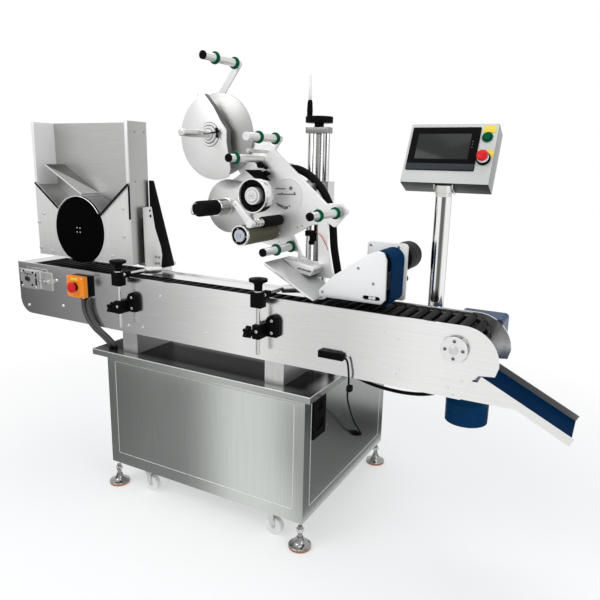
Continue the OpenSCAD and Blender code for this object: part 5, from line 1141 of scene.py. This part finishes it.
# Conveyor
def build_conveyor_details():
    """Screws along the side plates and the adjusters at the tail."""
    screws = [(-851, 665), (-651, 687), (-241, 666), (-156, 790), (41, 687), (436, 769), (672, 684), (712, 674),
        (560, 700), (-11, 806), (855, 661), (874, 647), (892, 687)]
    socket_screws("plate_screws", "machine_base", [(x, PLATE_FACE, z) for x, z in screws], r=4.4, tall=1.6,
        key="white_metal")
    dress(turned("bearing_face", (DRIVE_X, -364.2, DRIVE_Z), FRONT, [(0, 35), (0.8, 36), (2.2, 36), (3, 35.2),
        (3, 14), (2, 13.4), (2, 11)], 60), "white_metal")
    socket_screws("bearing_screws", "machine_base",
        [(DRIVE_X + 24 * cos(radians(a)), -367, DRIVE_Z + 24 * sin(radians(a))) for a in (0, 90, 180, 270)], r=4.6,
        tall=2, key="slot_grey")
    dress(turned("bearing_shaft_end", (DRIVE_X, -366, DRIVE_Z), FRONT, [(0, 10), (3, 10), (3.6, 9), (3.6, 4)], 32),
        "bright")
    dress(joined("tension_adjuster", rod("tension_screw", (-790, -359, 776), (-712, -359, 776), 4),
        turned("tension_nut", (-732, -359, 776), RIGHT, [(0, 8), (7, 8)], 6),
        turned("tension_head", (-716, -359, 776), RIGHT, [(0, 9), (8, 9), (9, 8)], 24)), "bright")
    socket_screws("tension_screws", "machine_base", [(x, -367, z) for x in (-858, -780) for z in (748, 804)], r=4.6,
        tall=2.4)
    dress(joined("tension_marks", *[plate(f"tension_mark_{i}", rounded_sheet(a - 4, b - h, a + 4, b + h, 1), -368.2,
        -366.8, 0) for i, (a, b, h) in enumerate(((-775, 800, 9), (-775, 772, 13), (-846, 810, 4), (-793, 807, 4),
        (-799, 757, 4), (-862, 760, 6)))]), "black")
    # Painted highlights along the rims of the tension plate.
    dress(joined("tension_rims", block("tension_rim_top", (-869, -368.4, 816), (-748, -366.6, 819), 0),
        block("tension_rim_side", (-751, -368.4, 748), (-746.6, -366.6, 819), 0)), "painted_highlight_line")
    dress(turned("tension_bolt", (-826, -367, 781), FRONT, [(0, 11), (4, 11), (5, 10), (5, 6)], 6), "chain")


def paint_details():
    """Second finishes on CAD nodes: the chute's liner and the inlet's cover plate are other materials, the rest are
    painted reflection, shade and light on faces of one material.
    """
    for name, key, test in (
            # Painted reflection on the table's top face.
            ("table_top", "table_shade", lambda p, n: n.z > 0.9 and -380 < p.y < 380 and -450 < p.x < 450),
            ("outlet_chute", "liner", lambda p, n: p.x > 934 and -343 < p.y < -177 and n.z > 0.4),
            # Painted shade on the baffles' tops: darker higher up, and a dark grey on the right slope.
            ("hopper_baffles", "hopper_half_shade", lambda p, n: n.z > 0.3 and p.z <= 1170),
            ("hopper_baffles", "hopper_deep_shade", lambda p, n: n.z > 0.3 and p.z > 1170),
            ("hopper_baffles", "wall_grey", lambda p, n: n.z > 0.3 and p.x > -520),
            ("power_inlet", "sheet_upright", lambda p, n: -210 < p.y < -80),
            # Painted reflection: a matte grey on the chute's far wall in place of its mirror.
            ("outlet_chute", "wall_grey", lambda p, n: p.x > 930 and p.y > -181 and n.y < -0.9),
            # Painted shade on the back wall and right side, painted light on the left wall's inner face.
            ("hopper_shell", "hopper_back", lambda p, n: (n.y < -0.9 and p.y > -230) or (n.x > 0.9 and p.x > -330)),
            ("hopper_shell", "hopper_lit_side", lambda p, n: n.x > 0.9 and p.x < -700),
            # Painted shade on the gearbox's front faces: dark steel, while its top stays blue.
            ("drive_gearmotor", "chain", lambda p, n: p.z > 560 and n.y < -0.9)):
        paint_faces(name, key, test)


# Lamps: name, place, aim, width, height and power, in metres and watts
LAMPS = (("key", (-1.6, -3.0, 3.6), (0, 0, 0.7), 2.6, 1.8, 60), ("top", (0.3, 0.2, 4.2), (0, 0, 0.6), 3.0, 2.0, 36),
         ("side", (3.6, -1.4, 2.2), (0.2, 0, 0.7), 2.0, 2.0, 26))

# Shades of the studio cards, by their place along the card
FRONT_SHADES = ((-3.4, 0.08), (-1.9, 0.10), (-1.76, 0.11), (-1.5, 0.22), (-1.225, 0.27), (-0.765, 0.50),
                (-0.55, 0.72), (-0.35, 0.95), (-0.1, 0.74), (0.155, 0.70), (0.3, 0.85), (0.45, 1.0), (1.4, 0.86))
LOW_SHADES = ((-3.2, 0.13), (-1.3, 0.16), (-1.086, 0.19), (-0.9, 0.25), (-0.67, 0.29), (-0.58, 0.42), (-0.42, 0.92),
              (-0.3, 0.97), (-0.18, 0.86), (-0.06, 0.42), (0.05, 0.5), (0.2, 0.85), (1.2, 0.9))
SIDE_SHADES = ((-0.25, 0.20), (0.41, 0.14), (0.68, 0.05), (0.83, 0.09), (0.99, 0.40), (1.2, 0.48), (2.4, 0.50))
FLOOR_SHADES = [(place + 0.693, shade) for place, shade in LOW_SHADES]

add_world()
finish = make_materials()
add_floor()
add_camera()
for lamp in LAMPS:
    add_softbox(*lamp)
add_card("front_card", (-3.4, -0.905, 0.25), (1.4, -0.9, 0.74), (1, 0, 0), FRONT_SHADES)
add_card("low_card", (-3.2, -0.905, 0.0), (1.2, -0.9, 0.25), (1, 0, 0), LOW_SHADES)
add_card("front_floor_card", (-3.2, -0.9, 0.0004), (1.2, -0.42, 0.001), (1, -0.77, 0), FLOOR_SHADES)
add_card("side_floor_card", (0.36, -0.25, 0.0004), (1.7, 2.4, 0.001), (0, 1, 0), SIDE_SHADES)
dress_nodes()
for build in (build_guide_rollers, build_supply_reel, build_rewind_reel, build_traction_and_pinch, build_brake_wheel,
              build_peel_plate, build_head_plate, build_head_plate_details, build_console, build_stop_box,
              build_guides, build_press_unit, build_column, build_hopper_details, build_feed_rim, build_handwheel,
              build_conveyor_details, build_hose, build_feet, build_sheet_edges, build_motor_shell,
              build_rear_ledge, build_motor_cable, build_brackets, build_cables, paint_details):
    build()

bpy.context.scene.view_settings.view_transform = "Standard"
